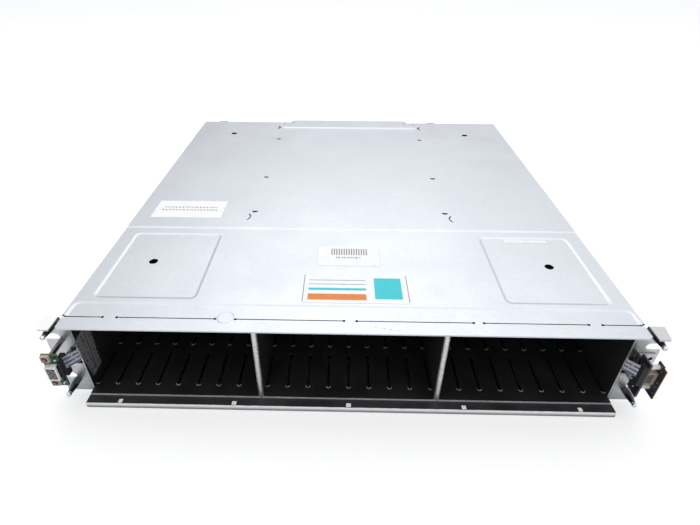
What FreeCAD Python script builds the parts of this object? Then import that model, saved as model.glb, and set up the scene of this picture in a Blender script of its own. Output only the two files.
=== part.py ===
# Rack storage enclosure, two units high, with twenty-four empty small-drive positions.
# Lengths in mm. +Z up, front towards -Y. Y = 0 is the front face of the rack ears, Z = 0 the underside.
import FreeCAD
import Part

import math
import os

V = FreeCAD.Vector
os.makedirs("parts", exist_ok=True)

# Enclosure
rack_width = 482.6
ear_reach = 18.8
body_height = 86.5
body_depth = 447.5
sheet = 1.2
pan_flange = 2.5
rail_lug_y = 217.0
rail_lug_length = 26.0
rail_lug_height = 10.5
rail_lug_drop = 1.5
rail_lug_proud = 1.2

# Top cover
step_depth = 0.8
step_run = 3.6
first_step_y = 131.7
second_step_y = 16.9
second_inset = 5.0
step_corner = 3.0
corner_steps = 4
press_lead = 12.0
seam_y = 2.5
seam_gap = 0.9
seam_dot = 1.2
seam_inset = 1.0
outer_cut = 30.6
left_inner_cut = 83.3
left_inner_bridge = 15.7
left_outer_bridge = 11.1
right_inner_cut = 88.8
right_inner_bridge = 7.9
right_outer_bridge = 10.4
centre_bridge = 9.8
strip_inset = 0.3
strip_reach = 11.0
strip_corner = 2.0
strip_lap = 0.6
pad_inset = 16.0
pad_width = 79.2
pad_front_gap = 10.7
pad_rear_gap = 11.1
pad_hole_radius = 3.9
pad_hole_out = 9.9
pad_hole_back = 2.5
moon_radius = 3.3
moon_sides = 12
moon_inset = 2.6
moon_gaps = (36.5, 120.5)
moon_rear_gap = 69.5
hook_radius = 9.0
hook_width = 1.3
hook_length = 12.0
hook_out = 8.7
hook_gap = 23.9
latch_out = 65.6
latch_width = 7.6
latch_length = 6.0
latch_corner = 1.8
latch_rear_gap = 53.5
raise_depth = 26.7
raise_height = 1.4
raise_run = 3.6
raise_corner = 14.0
raise_inset = 1.2
raise_overhang = 5.0
raise_dot = 1.4
raise_dot_out = 3.2
raise_dot_back = 2.7
dome_radius = 6.6
dome_top_radius = 6.0
dome_height = 0.35
dome_back = 1.5

# Front sill and drive cage
sill_inset = 3.5
sill_reach = 15.7
sill_top = 5.0
sill_bevel = 0.6
sill_hole_pitch = 95.6
sill_hole_width = 4.0
sill_hole_length = 4.7
cage_front = 7.0
cage_back = 136.8
cage_sheet = 1.2
cage_gap = 3.0
liner_sheet = 1.0
liner_gap = 0.1
tray_top = 6.5
ceiling_drop = 3.7
cage_flange = 6.0
drives_per_bay = 8
bay_margin = 3.5
guide_width = 2.2
guide_edge = 0.6
front_row = (5.2, 42.0)
rear_row = (53.0, 92.0)
divider_thickness = 4.6
divider_lead = 0.5
divider_slit = 1.5
divider_end_gap = 0.4

# Midplane
midplane_thickness = 2.4
midplane_gap = 0.6
screw_radius = 1.4
screw_clearance = 0.05
screw_head_radius = 2.9
screw_head_height = 1.8
screw_tip = 1.0
screw_inset = 15.4
screw_inner = 39.7
screw_rise = 3.3
connector_half = 4.5
connector_depth = 6.0
connector_rise = 17.5
connector_drop = 14.0
connector_slot = 2.4
connector_slot_depth = 5.0
connector_wall = 3.0
window_width = 5.0
window_rise = 11.5
window_height = 26.0

# Rack ears and studs
ear_sheet = 1.5
ear_bend = 2.5
ear_low = 3.0
ear_tongue = 40.0
tongue_gap = 2.0
slot_inset = 8.75
slot_width = 7.0
slot_low = 21.0
slot_drop = 21.05
tab_reach = 14.0
tab_gap = 1.6
tab_rear = 12.8
tab_front = 10.4
tab_corner = 1.2
tab_fold = 2.2
notch_low = 36.0
notch_height = 18.0
notch_reach = 4.2
grommet_proud = 0.6
grommet_lip = 0.9
grommet_gap = 0.05
grommet_edge = 0.3
grommet_slot = 1.5
stud_inset = 7.0
stud_low = 16.0
stud_drop = 6.7
stud_length = 17.7
stud_radius = 2.9
stud_straight = 6.5
stud_end = 1.8
stud_neck = 1.5
stud_shoulder = 0.4
ball_steps = 6
ball_flat = 0.5
stud_sides = 16
ball_radius = 2.1

# Boards on the ears
board_thickness = 1.6
panel_reach = 19.0
panel_outset = 5.5
panel_width = 12.1
panel_below = 5.0
panel_above = 11.0
standoff_radius = 2.2
standoff_x = 6.8
standoff_drop = 2.6
standoff_rise = 15.0
digit_width = 8.8
digit_height = 13.6
digit_depth = 4.6
digit_x = 6.4
digit_rise = 17.6
digit_frame = 1.0
digit_recess = 0.4
switch_size = 6.0
switch_depth = 2.4
switch_x = 3.8
switch_drop = 3.0
switch_rise = 5.2
switch_floor = 0.8
plunger_radius = 1.7
plunger_proud = 1.0
plunger_length = 1.8
ribbon_thickness = 0.5
ribbon_gap = 1.3
ribbon_width = 12.0
ribbon_lift = 2.0
ribbon_bend_y = 2.0
left_ribbon_reach = 16.8
left_ribbon_rise = 10.5
right_ribbon_reach = 13.5
right_ribbon_rise = 9.0
header_width = 3.9
header_depth = 5.4
header_foot = 2.6
header_height = 20.0
leg_sheet = 1.2
leg_reach = 14.0
bracket_inset = 2.7
bracket_above = 5.0
bracket_hole = 1.7
bracket_hole_inset = 2.6
bracket_hole_drop = 5.3
inner_front = 17.5
inner_rear = 5.5
inner_above = 9.0
inner_below = 8.0
outer_thickness = 1.2
outer_front = 19.4
outer_rear = 9.2
outer_above = 6.0
outer_below = 8.0
outer_step = 3.6
outer_step_drop = 1.4
board_gap = 9.2
spacer_radius = 2.2
spacer_reach = 11.5
spacer_drop = 4.2
spacer_rise = 6.0
link_depth = 4.8
link_drop = 9.0
link_rise = 10.5

# Rear modules
psu_width = 116.5
module_gap = 0.6
module_sheet = 1.0
module_inset = 24.0
module_rear_gap = 1.5
floor_gap = 0.4
roof_gap = 0.5
board_rise = 5.0
shelf_gap_under = 0.9
shelf_gap_over = 0.5
canister_roof_gap = 0.7
canister_side_gap = 0.8
wall_foot = 7.0
wall_front_gap = 2.0
wall_rear_gap = 0.8
wall_head_start = 16.0
wall_head_end = 34.0
shelf_lead = 4.0
shelf_end = 2.0
tongue_width = 40.0
tongue_length = 18.0
tongue_root = 4.0
tongue_clearance = 0.5
socket_wall = 3.0
socket_depth = 13.0
socket_back = 3.5
socket_rise = 4.0
post_radius = 3.0
post_inset = 14.0
post_front = 12.0
post_rear = 60.0
board_lead = 3.0
board_side = 5.6
board_rear = 8.4
psu_board_rear = 46.0

# Module fittings
running_gap = 0.05
pin_radius = 1.5
trunnion_radius = 2.0
lug_sheet = 1.8
lug_gap = 0.4
lug_half = 4.5
lug_reach = 6.0
lever_half = 2.4
lever_nose = 2.6
lever_bevel = 1.4
psu_lever_offset = 17.9
psu_lever_width = 12.0
psu_lever_rise = 9.5
psu_lever_drop = 0.5
psu_lever_hook = 9.0
hook_sheet = 4.0
eject_length = 37.0
eject_hook = 7.0
eject_inset = 8.0
eject_rise = 13.0
eject_height = 13.0
fan_radius = 25.0
fan_depth = 20.0
fan_rise = 5.0
fan_wall = 2.0
fan_hole_gap = 0.5
fan_inlet_gap = 1.3
fan_hub = 11.0
fan_web = 10.0
fan_web_depth = 3.0
fan_arm = 2.8
fan_hub_gap = 0.5
fan_hub_front = 2.5
fan_pin_front = 3.0
blade_count = 7
blade_thickness = 1.2
blade_chord = 12.0
blade_pitch = 38.0
blade_tip_gap = 1.2
blade_root = 9.5
blade_setback = 7.0
guard_sheet = 1.2
guard_rim = 3.0
guard_rings = (8.4, 14.4, 20.4)
guard_wire = 1.5
guard_sides = 20
fan_sides = 32
pin_sides = 16
inlet_inset = 13.4
inlet_half = 10.0
inlet_lip = 1.8
inlet_end_lip = 2.0
inlet_plate = 2.0
inlet_rise = 6.4
inlet_height = 59.0
inlet_depth = 22.0
inlet_clearance = 0.4
well_half = 8.0
well_depth = 14.5
well_rise = 4.5
well_height = 24.0
prong_half = 1.0
prong_height = 4.0
prong_pitch = 7.0
prong_offset = 2.5
prong_tip = 2.0
rocker_rise = 45.0
rocker_half = 6.1
rocker_length = 18.4
rocker_proud = 4.8
rocker_dip = 1.2
rocker_edge = 0.4
rocker_back = 3.6
rocker_root = 9.0
rocker_well_half = 6.5
rocker_well_height = 20.0
rocker_pivot = 1.6
rocker_pin = 1.2
rocker_pin_half = 8.0
rocker_pin_end = 0.4
rocker_tilt = 9.0
port_count = 4
port_pitch = 24.0
port_width = 16.0
port_height = 13.5
port_depth = 21.0
port_proud = 0.6
port_clearance = 0.3
port_mouth = 11.8
port_mouth_rise = 2.5
port_mouth_height = 9.0
port_mouth_depth = 14.0
vent_width = 6.0
vent_side = 37.0
vent_drop = 5.0
vent_height = 6.0
rear_vents = 10
inner_vents = 8
inner_vent_side = 12.0
inner_vent_rise = 14.0
inner_vent_drop = 6.0
psu_vents = 6
psu_vent_width = 8.0
psu_vent_side = 8.0
psu_vent_rise = 22.4
psu_vent_drop = 21.6

# Values that follow from the sizes above
past = 1.0
near = 0.01
short_edge = 0.2
body_width = rack_width - 2.0 * ear_reach
half = 0.5 * body_width
wall_in = half - sheet
strip_half = half - strip_inset
sill_half = half - sill_inset
cage_half = wall_in - cage_gap
bay_pitch = (2.0 * cage_half + divider_thickness) / 3.0
drive_pitch = (bay_pitch - 2.0 * bay_margin) / drives_per_bay
bay_centres = (-bay_pitch, 0.0, bay_pitch)
top_z = body_height
under_z = top_z - sheet
level_1 = top_z - step_depth
level_2 = level_1 - step_depth
strip_under = level_2 - sheet
ceiling_z = strip_under - ceiling_drop
flange_z = under_z - sheet
mid_back = cage_back + midplane_thickness
module_y0 = mid_back + module_inset
module_y1 = body_depth - module_rear_gap
ear_out = 0.5 * rack_width
ear_in = wall_in - ear_sheet
slot_x = ear_out - slot_inset
slot_heights = (slot_low, body_height - slot_drop)
stud_x = half + stud_inset
stud_heights = (stud_low, body_height - stud_drop)
notch_high = notch_low + notch_height
wall_front = ear_sheet + ear_bend + running_gap
bay_wall_x = wall_in - sheet - 2.0 * module_gap - psu_width
psu_z0 = sheet + floor_gap
psu_z1 = flange_z - roof_gap
canister_low = 2.0 * sheet + floor_gap
shelf_space = sheet + shelf_gap_under + shelf_gap_over + canister_roof_gap
canister_height = 0.5 * (flange_z - canister_low - shelf_space)
shelf_z = canister_low + canister_height + shelf_gap_under
canister_high = shelf_z + sheet + shelf_gap_over
board_low = canister_low + module_sheet + board_rise
board_high = canister_high + module_sheet + board_rise
board_psu = psu_z0 + module_sheet + board_rise
psu_x0 = {"left": -wall_in + module_gap, "right": bay_wall_x + sheet + module_gap}
lever_y = module_y1 + lug_reach


def box(x0, x1, y0, y1, z0, z1):
    return Part.makeBox(x1 - x0, y1 - y0, z1 - z0, V(x0, y0, z0))


def side_box(side, x0, x1, y0, y1, z0, z1):
    # The same box on the right (side 1) or mirrored to the left (side -1)
    xa, xb = sorted((side * x0, side * x1))
    return box(xa, xb, y0, y1, z0, z1)


def rod_y(r, x, y0, y1, z):
    return Part.makeCylinder(r, y1 - y0, V(x, y0, z), V(0, 1, 0))


def rod_z(r, x, y, z0, z1):
    return Part.makeCylinder(r, z1 - z0, V(x, y, z0), V(0, 0, 1))


def face_of(points):
    return Part.Face(Part.makePolygon(points + [points[0]]))


def prism_x(points, x0, x1):
    return face_of([V(x0, y, z) for y, z in points]).extrude(V(x1 - x0, 0, 0))


def prism_y(points, y0, y1):
    return face_of([V(x, y0, z) for x, z in points]).extrude(V(0, y1 - y0, 0))


def prism_z(points, z0, z1):
    return face_of([V(x, y, z0) for x, y in points]).extrude(V(0, 0, z1 - z0))


def polygon(sides, radius, a, b):
    # Corners of a regular polygon about the point (a, b)
    step = 2.0 * math.pi / sides
    return [(a + radius * math.cos(i * step), b + radius * math.sin(i * step)) for i in range(sides)]


def pin_x(r, x0, x1, y, z, sides):
    return prism_x(polygon(sides, r, y, z), x0, x1)


def pin_y(r, x, y0, y1, z, sides):
    return prism_y(polygon(sides, r, x, z), y0, y1)


def pin_z(r, x, y, z0, z1, sides):
    return prism_z(polygon(sides, r, x, y), z0, z1)


def bore_radius(r, sides):
    # Corner radius of a polygon whose flats are the given distance from its middle
    return r / math.cos(math.pi / sides)


def hex_x(r, x0, x1, y, z):
    return prism_x(polygon(6, r, y, z), x0, x1)


def hex_y(r, x, y0, y1, z):
    return prism_y(polygon(6, r, x, z), y0, y1)


def hex_z(r, x, y, z0, z1):
    return prism_z(polygon(6, r, x, y), z0, z1)


def joined(shapes):
    return shapes[0].multiFuse(shapes[1:]).removeSplitter()


def cut_by(shape, tools):
    return shape.cut(Part.makeCompound(tools))


def mirrored(shape):
    return shape.mirror(V(0, 0, 0), V(1, 0, 0))


def emit(name, shape):
    shape.exportStep("parts/" + name + ".step")


def emit_group(name, shapes):
    Part.makeCompound(shapes).exportStep("parts/" + name + ".step")


def straight_edges(shape, axis, fixed):
    # Straight edges along one axis whose other coordinates have the given values
    found = []
    for e in shape.Edges:
        a = e.Vertexes[0].Point
        b = e.Vertexes[-1].Point
        along = abs(a[axis] - b[axis]) > short_edge
        level = [k for k in range(3) if k != axis and abs(a[k] - b[k]) > near]
        if along and not level and all(abs(a[k] - v) < near for k, v in fixed.items()):
            found.append(e)
    return found


def soft_outline(x0, x1, y0, y1, r):
    # Rectangle whose corners are turned in a few short steps
    points = []
    for i, (cx, cy) in enumerate(((x1 - r, y1 - r), (x0 + r, y1 - r), (x0 + r, y0 + r), (x1 - r, y0 + r))):
        for k in range(corner_steps + 1):
            angle = 0.5 * math.pi * (i + k / corner_steps)
            points.append((cx + r * math.cos(angle), cy + r * math.sin(angle)))
    return points


def loft(outlines):
    # Straight-sided solid through closed outlines of (x, y) points at rising heights
    wires = [Part.makePolygon([V(x, y, z) for x, y in points + points[:1]]) for points, z in outlines]
    return Part.makeLoft(wires, True, True)


def sloped_block(x0, x1, y0, y1, z0, z1):
    # Block whose sides lean out by the run of one step for each step of height
    lean = step_run * (z1 - z0) / step_depth
    return loft([(soft_outline(x0, x1, y0, y1, step_corner), z0),
                 (soft_outline(x0 - lean, x1 + lean, y0 - lean, y1 + lean, step_corner + lean), z1)])


def press(plate, x0, x1, y0, y1, level):
    # Push an area of the sheet down by one step, with a sloping rim, keeping the sheet's thickness
    low = level - step_depth
    boss = sloped_block(x0, x1, y0, y1, low - sheet, level - 0.5 * sheet)
    return plate.fuse(boss).cut(sloped_block(x0, x1, y0, y1, low, level + past))


# Chassis pan: floor, side walls with inward top flanges behind the step, and a low rail lug on each side
pan_pieces = [box(-half, half, ear_sheet, body_depth, 0.0, sheet)]
pan_pieces.append(box(-sill_half, sill_half, -cage_front, ear_sheet, 0.0, sheet))
slope_y = first_step_y + step_run
flange_y = slope_y + pan_flange
wall_low = under_z - step_depth
wall_outline = [(wall_front, 0.0), (body_depth, 0.0), (body_depth, under_z), (slope_y, under_z),
                (first_step_y, wall_low), (wall_front, wall_low)]
lug_top = top_z - rail_lug_drop
for side in (-1.0, 1.0):
    pan_pieces.append(prism_x(wall_outline, min(side * wall_in, side * half), max(side * wall_in,
        side * half)))
    pan_pieces.append(side_box(side, wall_in - pan_flange, half, flange_y, body_depth, flange_z, under_z))
    pan_pieces.append(side_box(side, half, half + rail_lug_proud, rail_lug_y, rail_lug_y + rail_lug_length,
                               lug_top - rail_lug_height, lug_top))
emit("chassis_pan", joined(pan_pieces))

# Top cover: one pressed sheet, stepped down twice towards the front
press_front = seam_y - press_lead
press_half = half + press_lead
cover = box(-press_half, press_half, press_front, body_depth, under_z, top_z)
second_half = half - second_inset
press_start = press_front - 2.0 * press_lead
press_side = press_half + press_lead
cover = press(cover, -press_side, press_side, press_start, first_step_y, top_z)
cover = press(cover, -second_half, second_half, press_start, second_step_y, level_1)
pad_out = half - pad_inset
pad_in = pad_out - pad_width
pad_y0 = second_step_y + pad_front_gap
pad_y1 = first_step_y - pad_rear_gap
cover = press(cover, pad_in, pad_out, pad_y0, pad_y1, level_1)
cover = press(cover, -pad_out, -pad_in, pad_y0, pad_y1, level_1)
cover = cover.common(box(-half, half, seam_y, body_depth, 0.0, top_z + past))
strip_outline = [(-strip_half + strip_corner, -strip_reach), (strip_half - strip_corner, -strip_reach),
                 (strip_half, strip_corner - strip_reach), (strip_half, seam_y + strip_lap),
                 (-strip_half, seam_y + strip_lap), (-strip_half, strip_corner - strip_reach)]
cover = cover.fuse(prism_z(strip_outline, strip_under, level_2))
raise_y = body_depth - raise_depth
raise_back = body_depth + raise_overhang
raise_half = bay_wall_x - raise_inset


def raised_outline(inset, back):
    wide = raise_half - inset
    narrow = wide - raise_corner
    front = raise_y + inset
    return [(-wide, front), (wide, front), (narrow, front + raise_corner), (narrow, back),
            (-narrow, back), (-narrow, front + raise_corner)]


foot_out = -raise_run * 0.5 * sheet / raise_height
cover = cover.fuse(loft([(raised_outline(foot_out, raise_back), top_z - 0.5 * sheet),
                         (raised_outline(raise_run, raise_back), top_z + raise_height)]))
hollow_top = top_z + raise_height - sheet
cover = cover.cut(prism_z(raised_outline(raise_run, raise_back + past), under_z - past, hollow_top))
inner_start = 0.5 * centre_bridge
outer_end = half - seam_inset
outer_start = outer_end - outer_cut
left_end = inner_start + left_inner_cut
right_end = inner_start + right_inner_cut
seam_cuts = {
    -1.0: [(inner_start, left_end), (left_end + left_inner_bridge, outer_start - left_outer_bridge)],
    1.0: [(inner_start, right_end), (right_end + right_inner_bridge, outer_start - right_outer_bridge)]}
dome_x = -left_end - 0.5 * left_inner_bridge
dome = Part.makeCone(dome_radius, dome_top_radius, dome_height, V(dome_x, seam_y + dome_back, level_2))
cover = cover.fuse(dome)
cut_z0 = strip_under - past
cut_z1 = top_z + raise_height + past
cover_cuts = []
for side in (-1.0, 1.0):
    for xa, xb in seam_cuts[side] + [(outer_start, outer_end)]:
        cover_cuts.append(side_box(side, xa, xb, seam_y - 0.5 * seam_gap, seam_y + 0.5 * seam_gap,
            cut_z0, cut_z1))
        for x in (xa, xb):
            cover_cuts.append(prism_z(polygon(8, seam_dot, side * x, seam_y), cut_z0, cut_z1))
    pad_x = 0.5 * (pad_in + pad_out) + pad_hole_out
    pad_y = 0.5 * (pad_y0 + pad_y1) + pad_hole_back
    cover_cuts.append(rod_z(pad_hole_radius, side * pad_x, pad_y, cut_z0, cut_z1))
    moon_x = side * (bay_wall_x - moon_inset)
    for my in (first_step_y + moon_gaps[0], first_step_y + moon_gaps[1], body_depth - moon_rear_gap):
        moon = prism_z(polygon(moon_sides, moon_radius, moon_x, my), cut_z0, cut_z1)
        cover_cuts.append(moon.common(box(moon_x - moon_radius, moon_x + moon_radius, my - moon_radius, my,
                                          cut_z0, cut_z1)))
    hook_x = bay_wall_x + hook_out
    hook_y = first_step_y + hook_gap
    hook = rod_z(hook_radius, side * hook_x, hook_y, cut_z0, cut_z1)
    hook = hook.cut(rod_z(hook_radius - hook_width, side * hook_x, hook_y, cut_z0 - past, cut_z1 + past))
    cover_cuts.append(hook.common(side_box(side, hook_x - hook_radius, hook_x, hook_y - 0.5 * hook_length,
                                           hook_y + 0.5 * hook_length, cut_z0, cut_z1)))
    latch_x = side * (bay_wall_x + latch_out)
    latch_y = body_depth - latch_rear_gap
    latch = soft_outline(latch_x - 0.5 * latch_width, latch_x + 0.5 * latch_width, latch_y,
                         latch_y + latch_length, latch_corner)
    cover_cuts.append(prism_z(latch, cut_z0, cut_z1))
    dot = polygon(8, raise_dot, side * (raise_half + raise_dot_out), raise_y + raise_dot_back)
    cover_cuts.append(prism_z(dot, cut_z0, cut_z1))
emit("top_cover", cut_by(cover, cover_cuts).removeSplitter())

# Front sill: folded lip with five square holes
sill_front = -sill_reach
sill_back = -cage_front
sill = prism_x([(sill_front, 0.0), (sill_front + sheet, 0.0), (sill_front + sheet, sill_top - sheet),
                (sill_back, sill_top - sheet), (sill_back, sill_top), (sill_front + sill_bevel, sill_top),
                (sill_front, sill_top - sill_bevel)], -sill_half, sill_half)
hole_y = sill_front + sheet
sill_holes = []
for i in range(-2, 3):
    x = i * sill_hole_pitch
    sill_holes.append(box(x - 0.5 * sill_hole_width, x + 0.5 * sill_hole_width, hole_y,
                          hole_y + sill_hole_length, sill_top - 2.0 * sheet, sill_top + past))
emit("front_sill", cut_by(sill, sill_holes))


def guide_slots(z0, z1, rows):
    # Rows of long slots between the drive positions, kept clear of the plate's side edges
    tools = []
    edge = cage_half - guide_edge
    for centre in bay_centres:
        for i in range(drives_per_bay + 1):
            x = centre + (i - 0.5 * drives_per_bay) * drive_pitch
            xa = max(x - 0.5 * guide_width, -edge)
            xb = min(x + 0.5 * guide_width, edge)
            for ya, yb in rows:
                tools.append(box(xa, xb, ya, yb, z0, z1))
    return tools


# Drive cage: floor and ceiling guide plates, dividers and side liners
screw_places = []
for x in (screw_inset - cage_half, -screw_inner, screw_inner, cage_half - screw_inset):
    for z in (tray_top + screw_rise, ceiling_z - screw_rise):
        screw_places.append((x, z))
screw_hole = screw_radius + screw_clearance
screw_tools = [hex_y(screw_hole, x, cage_back - cage_flange, mid_back + past, z) for x, z in screw_places]
plate_front = -cage_front
tray = joined([
    box(-cage_half, cage_half, plate_front, cage_back, tray_top - cage_sheet, tray_top),
    box(-cage_half, cage_half, plate_front, plate_front + cage_sheet, sheet, tray_top),
    box(-cage_half, cage_half, cage_back - cage_sheet, cage_back, tray_top - cage_sheet,
        tray_top + cage_flange)])
tray_slots = guide_slots(tray_top - 2.0 * cage_sheet, tray_top + past, (front_row, rear_row))
emit("cage_floor", cut_by(tray, tray_slots + screw_tools))

roof_z = ceiling_z + cage_sheet
roof = joined([
    box(-cage_half, cage_half, plate_front, cage_back, ceiling_z, roof_z),
    box(-cage_half, cage_half, plate_front, plate_front + cage_sheet, ceiling_z, strip_under),
    box(-cage_half, cage_half, cage_back - cage_sheet, cage_back, ceiling_z - cage_flange, roof_z)])
roof_slots = guide_slots(ceiling_z - past, roof_z + past, (front_row,))
emit("cage_ceiling", cut_by(roof, roof_slots + screw_tools))

nose = 0.5 * divider_thickness
nose_y = plate_front - divider_lead + nose
fold = joined([
    box(-nose, nose, nose_y, cage_back - cage_sheet - divider_end_gap, tray_top, ceiling_z),
    rod_z(nose, 0.0, nose_y, tray_top, ceiling_z)])
fold = fold.cut(box(cage_sheet - nose, nose - cage_sheet, plate_front + divider_slit, cage_back, 0.0, top_z))
for label, side in (("left", -1.0), ("right", 1.0)):
    divider = fold.copy()
    divider.translate(V(side * 0.5 * bay_pitch, 0, 0))
    emit("divider_" + label, divider)
    liner_top = strip_under - liner_gap
    liner = side_box(side, cage_half, cage_half + liner_sheet, 0.0, cage_back, sheet, liner_top)
    emit("side_liner_" + label, liner)

# Midplane board with vent windows, its screws, and the connectors on both faces
plane_half = wall_in - midplane_gap
plane = box(-plane_half, plane_half, cage_back, mid_back, sheet + midplane_gap, flange_z - midplane_gap)
window_low = tray_top + window_rise
connector_low = tray_top + connector_rise
connector_high = ceiling_z - connector_drop
windows = []
connectors = []
for centre in bay_centres:
    for i in range(drives_per_bay):
        x = centre + (i - 0.5 * (drives_per_bay - 1)) * drive_pitch
        block = box(x - connector_half, x + connector_half, cage_back - connector_depth, cage_back,
                    connector_low, connector_high)
        groove = 0.5 * connector_slot
        connectors.append(block.cut(box(x - groove, x + groove, cage_back - 2.0 * connector_depth,
                                        cage_back - connector_depth + connector_slot_depth,
                                        connector_low + connector_wall, connector_high - connector_wall)))
    for i in range(1, drives_per_bay, 2):
        x = centre + (i - 0.5 * drives_per_bay) * drive_pitch
        windows.append(box(x - 0.5 * window_width, x + 0.5 * window_width, cage_back - past, mid_back + past,
                           window_low, window_low + window_height))
emit("midplane_board", cut_by(plane, windows + screw_tools))
emit_group("drive_connectors", connectors)

screws = []
for x, z in screw_places:
    head = hex_y(screw_head_radius, x, mid_back, mid_back + screw_head_height, z)
    screws.append(head.fuse(hex_y(screw_radius, x, cage_back - cage_sheet - screw_tip, mid_back, z)))
emit_group("midplane_screws", screws)

sockets = []
socket_places = [(psu_x0["left"] + 0.5 * psu_width, board_psu), (psu_x0["right"] + 0.5 * psu_width,
    board_psu),
                 (0.0, board_low), (0.0, board_high)]
for x, z in socket_places:
    mouth = 0.5 * tongue_width + tongue_clearance
    body = box(x - mouth - socket_wall, x + mouth + socket_wall, mid_back, mid_back + socket_depth,
               z - socket_rise, z + board_thickness + socket_rise)
    sockets.append(body.cut(box(x - mouth, x + mouth, mid_back + socket_back, mid_back + 2.0 * socket_depth,
                                z - tongue_clearance, z + board_thickness + tongue_clearance)))
emit_group("module_sockets", sockets)

# Rear bay walls and the shelf between the controller bays
wall_y0 = mid_back + wall_front_gap
wall_y1 = body_depth - wall_rear_gap
for label, side in (("left", -1.0), ("right", 1.0)):
    foot_in = bay_wall_x - wall_foot
    wall_out = bay_wall_x + sheet
    head_y0 = mid_back + wall_head_start
    head_y1 = body_depth - wall_head_end
    emit("bay_wall_" + label, joined([
        side_box(side, bay_wall_x, wall_out, wall_y0, wall_y1, sheet, under_z),
        side_box(side, foot_in, wall_out, wall_y0, wall_y1, sheet, 2.0 * sheet),
        side_box(side, foot_in, wall_out, head_y0, head_y1, flange_z, under_z)]))
emit("controller_shelf", box(-bay_wall_x, bay_wall_x, module_y0 - shelf_lead, body_depth - shelf_end,
                             shelf_z, shelf_z + sheet))

# Rack ears: flange with open slots, forward tab on top, two tongues along the side wall
ear = box(ear_in, ear_out, 0.0, ear_sheet, ear_low, top_z - 0.5 * ear_sheet)
tab = prism_z([(half + tab_gap, -tab_reach), (half + tab_front, -tab_reach), (half + tab_rear, 0.0),
               (half + tab_rear, ear_sheet), (half + tab_gap, ear_sheet)], top_z - ear_sheet, top_z)
upper_tongue = box(ear_in, wall_in, 0.0, ear_tongue, notch_high + tongue_gap, flange_z - tongue_gap)
lower_tongue = box(ear_in, wall_in, 0.0, ear_tongue, sheet + tongue_gap, notch_low - tongue_gap)
ear = joined([ear, tab, upper_tongue, lower_tongue])
through = (-past, ear_sheet + past)
ear_cuts = [box(ear_in - past, ear_in + notch_reach, through[0], through[1], notch_low, notch_high)]
ear_cuts.append(box(half + tab_rear, ear_out + past, through[0], through[1], slot_heights[1], top_z + past))
ear_cuts.append(box(ear_in - past, half + tab_gap, through[0], through[1], strip_under - liner_gap,
    top_z + past))
for z in slot_heights:
    slot_half = 0.5 * slot_width
    ear_cuts.append(rod_y(slot_half, slot_x, through[0], through[1], z))
    ear_cuts.append(box(slot_x, ear_out + past, through[0], through[1], z - slot_half, z + slot_half))
ear = cut_by(ear, ear_cuts).removeSplitter()
ear = ear.makeFillet(tab_corner, straight_edges(ear, 2, {1: -tab_reach}))
ear = ear.makeFillet(ear_bend, straight_edges(ear, 2, {0: wall_in, 1: ear_sheet}))
ear = ear.makeFillet(tab_fold, straight_edges(ear, 0, {1: ear_sheet, 2: top_z}))
ear = ear.makeFillet(tab_fold - ear_sheet, straight_edges(ear, 0, {1: 0.0, 2: top_z - ear_sheet}))
emit("rack_ear_right", ear)
emit("rack_ear_left", mirrored(ear))

# Grommets that line the ear notches where the ribbons pass
g = grommet_gap
grommet = box(ear_in - grommet_edge, ear_in + notch_reach - g, -grommet_proud, ear_sheet + grommet_proud,
              notch_low + g, notch_high - g)
grommet = grommet.cut(box(ear_in - past, ear_in + grommet_slot, -2.0 * past, ear_sheet + 2.0 * past,
                          notch_low + grommet_lip, notch_high - grommet_lip))
emit_group("notch_grommets", [grommet, mirrored(grommet)])

# Ball studs that carry the ear covers
ball_y = stud_length - ball_radius
neck_turn = math.asin(stud_neck / ball_radius)
neck_y = ball_y - ball_radius * math.cos(neck_turn)
tip_outline = [(stud_radius, stud_straight), (stud_end, neck_y - stud_shoulder), (stud_neck, neck_y)]
for i in range(1, ball_steps):
    turn = neck_turn + (math.pi - neck_turn) * i / ball_steps
    tip_outline.append((ball_radius * math.sin(turn), ball_y - ball_radius * math.cos(turn)))
tip_outline.append((ball_flat, stud_length))
stud = joined([Part.makeCylinder(stud_radius, stud_straight),
               loft([(polygon(stud_sides, r, 0.0, 0.0), y) for r, y in tip_outline])])
stud.rotate(V(0, 0, 0), V(1, 0, 0), 90)
studs = []
for x in (-stud_x, stud_x):
    for z in stud_heights:
        piece = stud.copy()
        piece.translate(V(x, 0, z))
        studs.append(piece)
emit_group("ball_studs", studs)

# Left ear: display board and what it carries
panel_y = -panel_reach
panel_back = panel_y + board_thickness
panel_x0 = -stud_x - panel_outset
panel_z0 = notch_low - panel_below
panel_z1 = notch_high + panel_above
emit("display_board", box(panel_x0, panel_x0 + panel_width, panel_y, panel_back, panel_z0, panel_z1))
emit_group("display_standoffs", [hex_y(standoff_radius, panel_x0 + standoff_x, panel_back, 0.0, z)
                                 for z in (panel_z1 - standoff_drop, panel_z0 + standoff_rise)])
dx0 = panel_x0 + digit_x - 0.5 * digit_width
dx1 = dx0 + digit_width
dz0 = panel_z0 + digit_rise - 0.5 * digit_height
dz1 = dz0 + digit_height
digit_y = panel_y - digit_depth
digit = box(dx0, dx1, digit_y, panel_y, dz0, dz1)
emit("digit_display", digit.cut(box(dx0 + digit_frame, dx1 - digit_frame, digit_y - past,
    digit_y + digit_recess,
                                    dz0 + digit_frame, dz1 - digit_frame)))
switches = []
switch_cx = panel_x0 + switch_x
switch_half = 0.5 * switch_size
switch_y = panel_y - switch_depth
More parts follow.
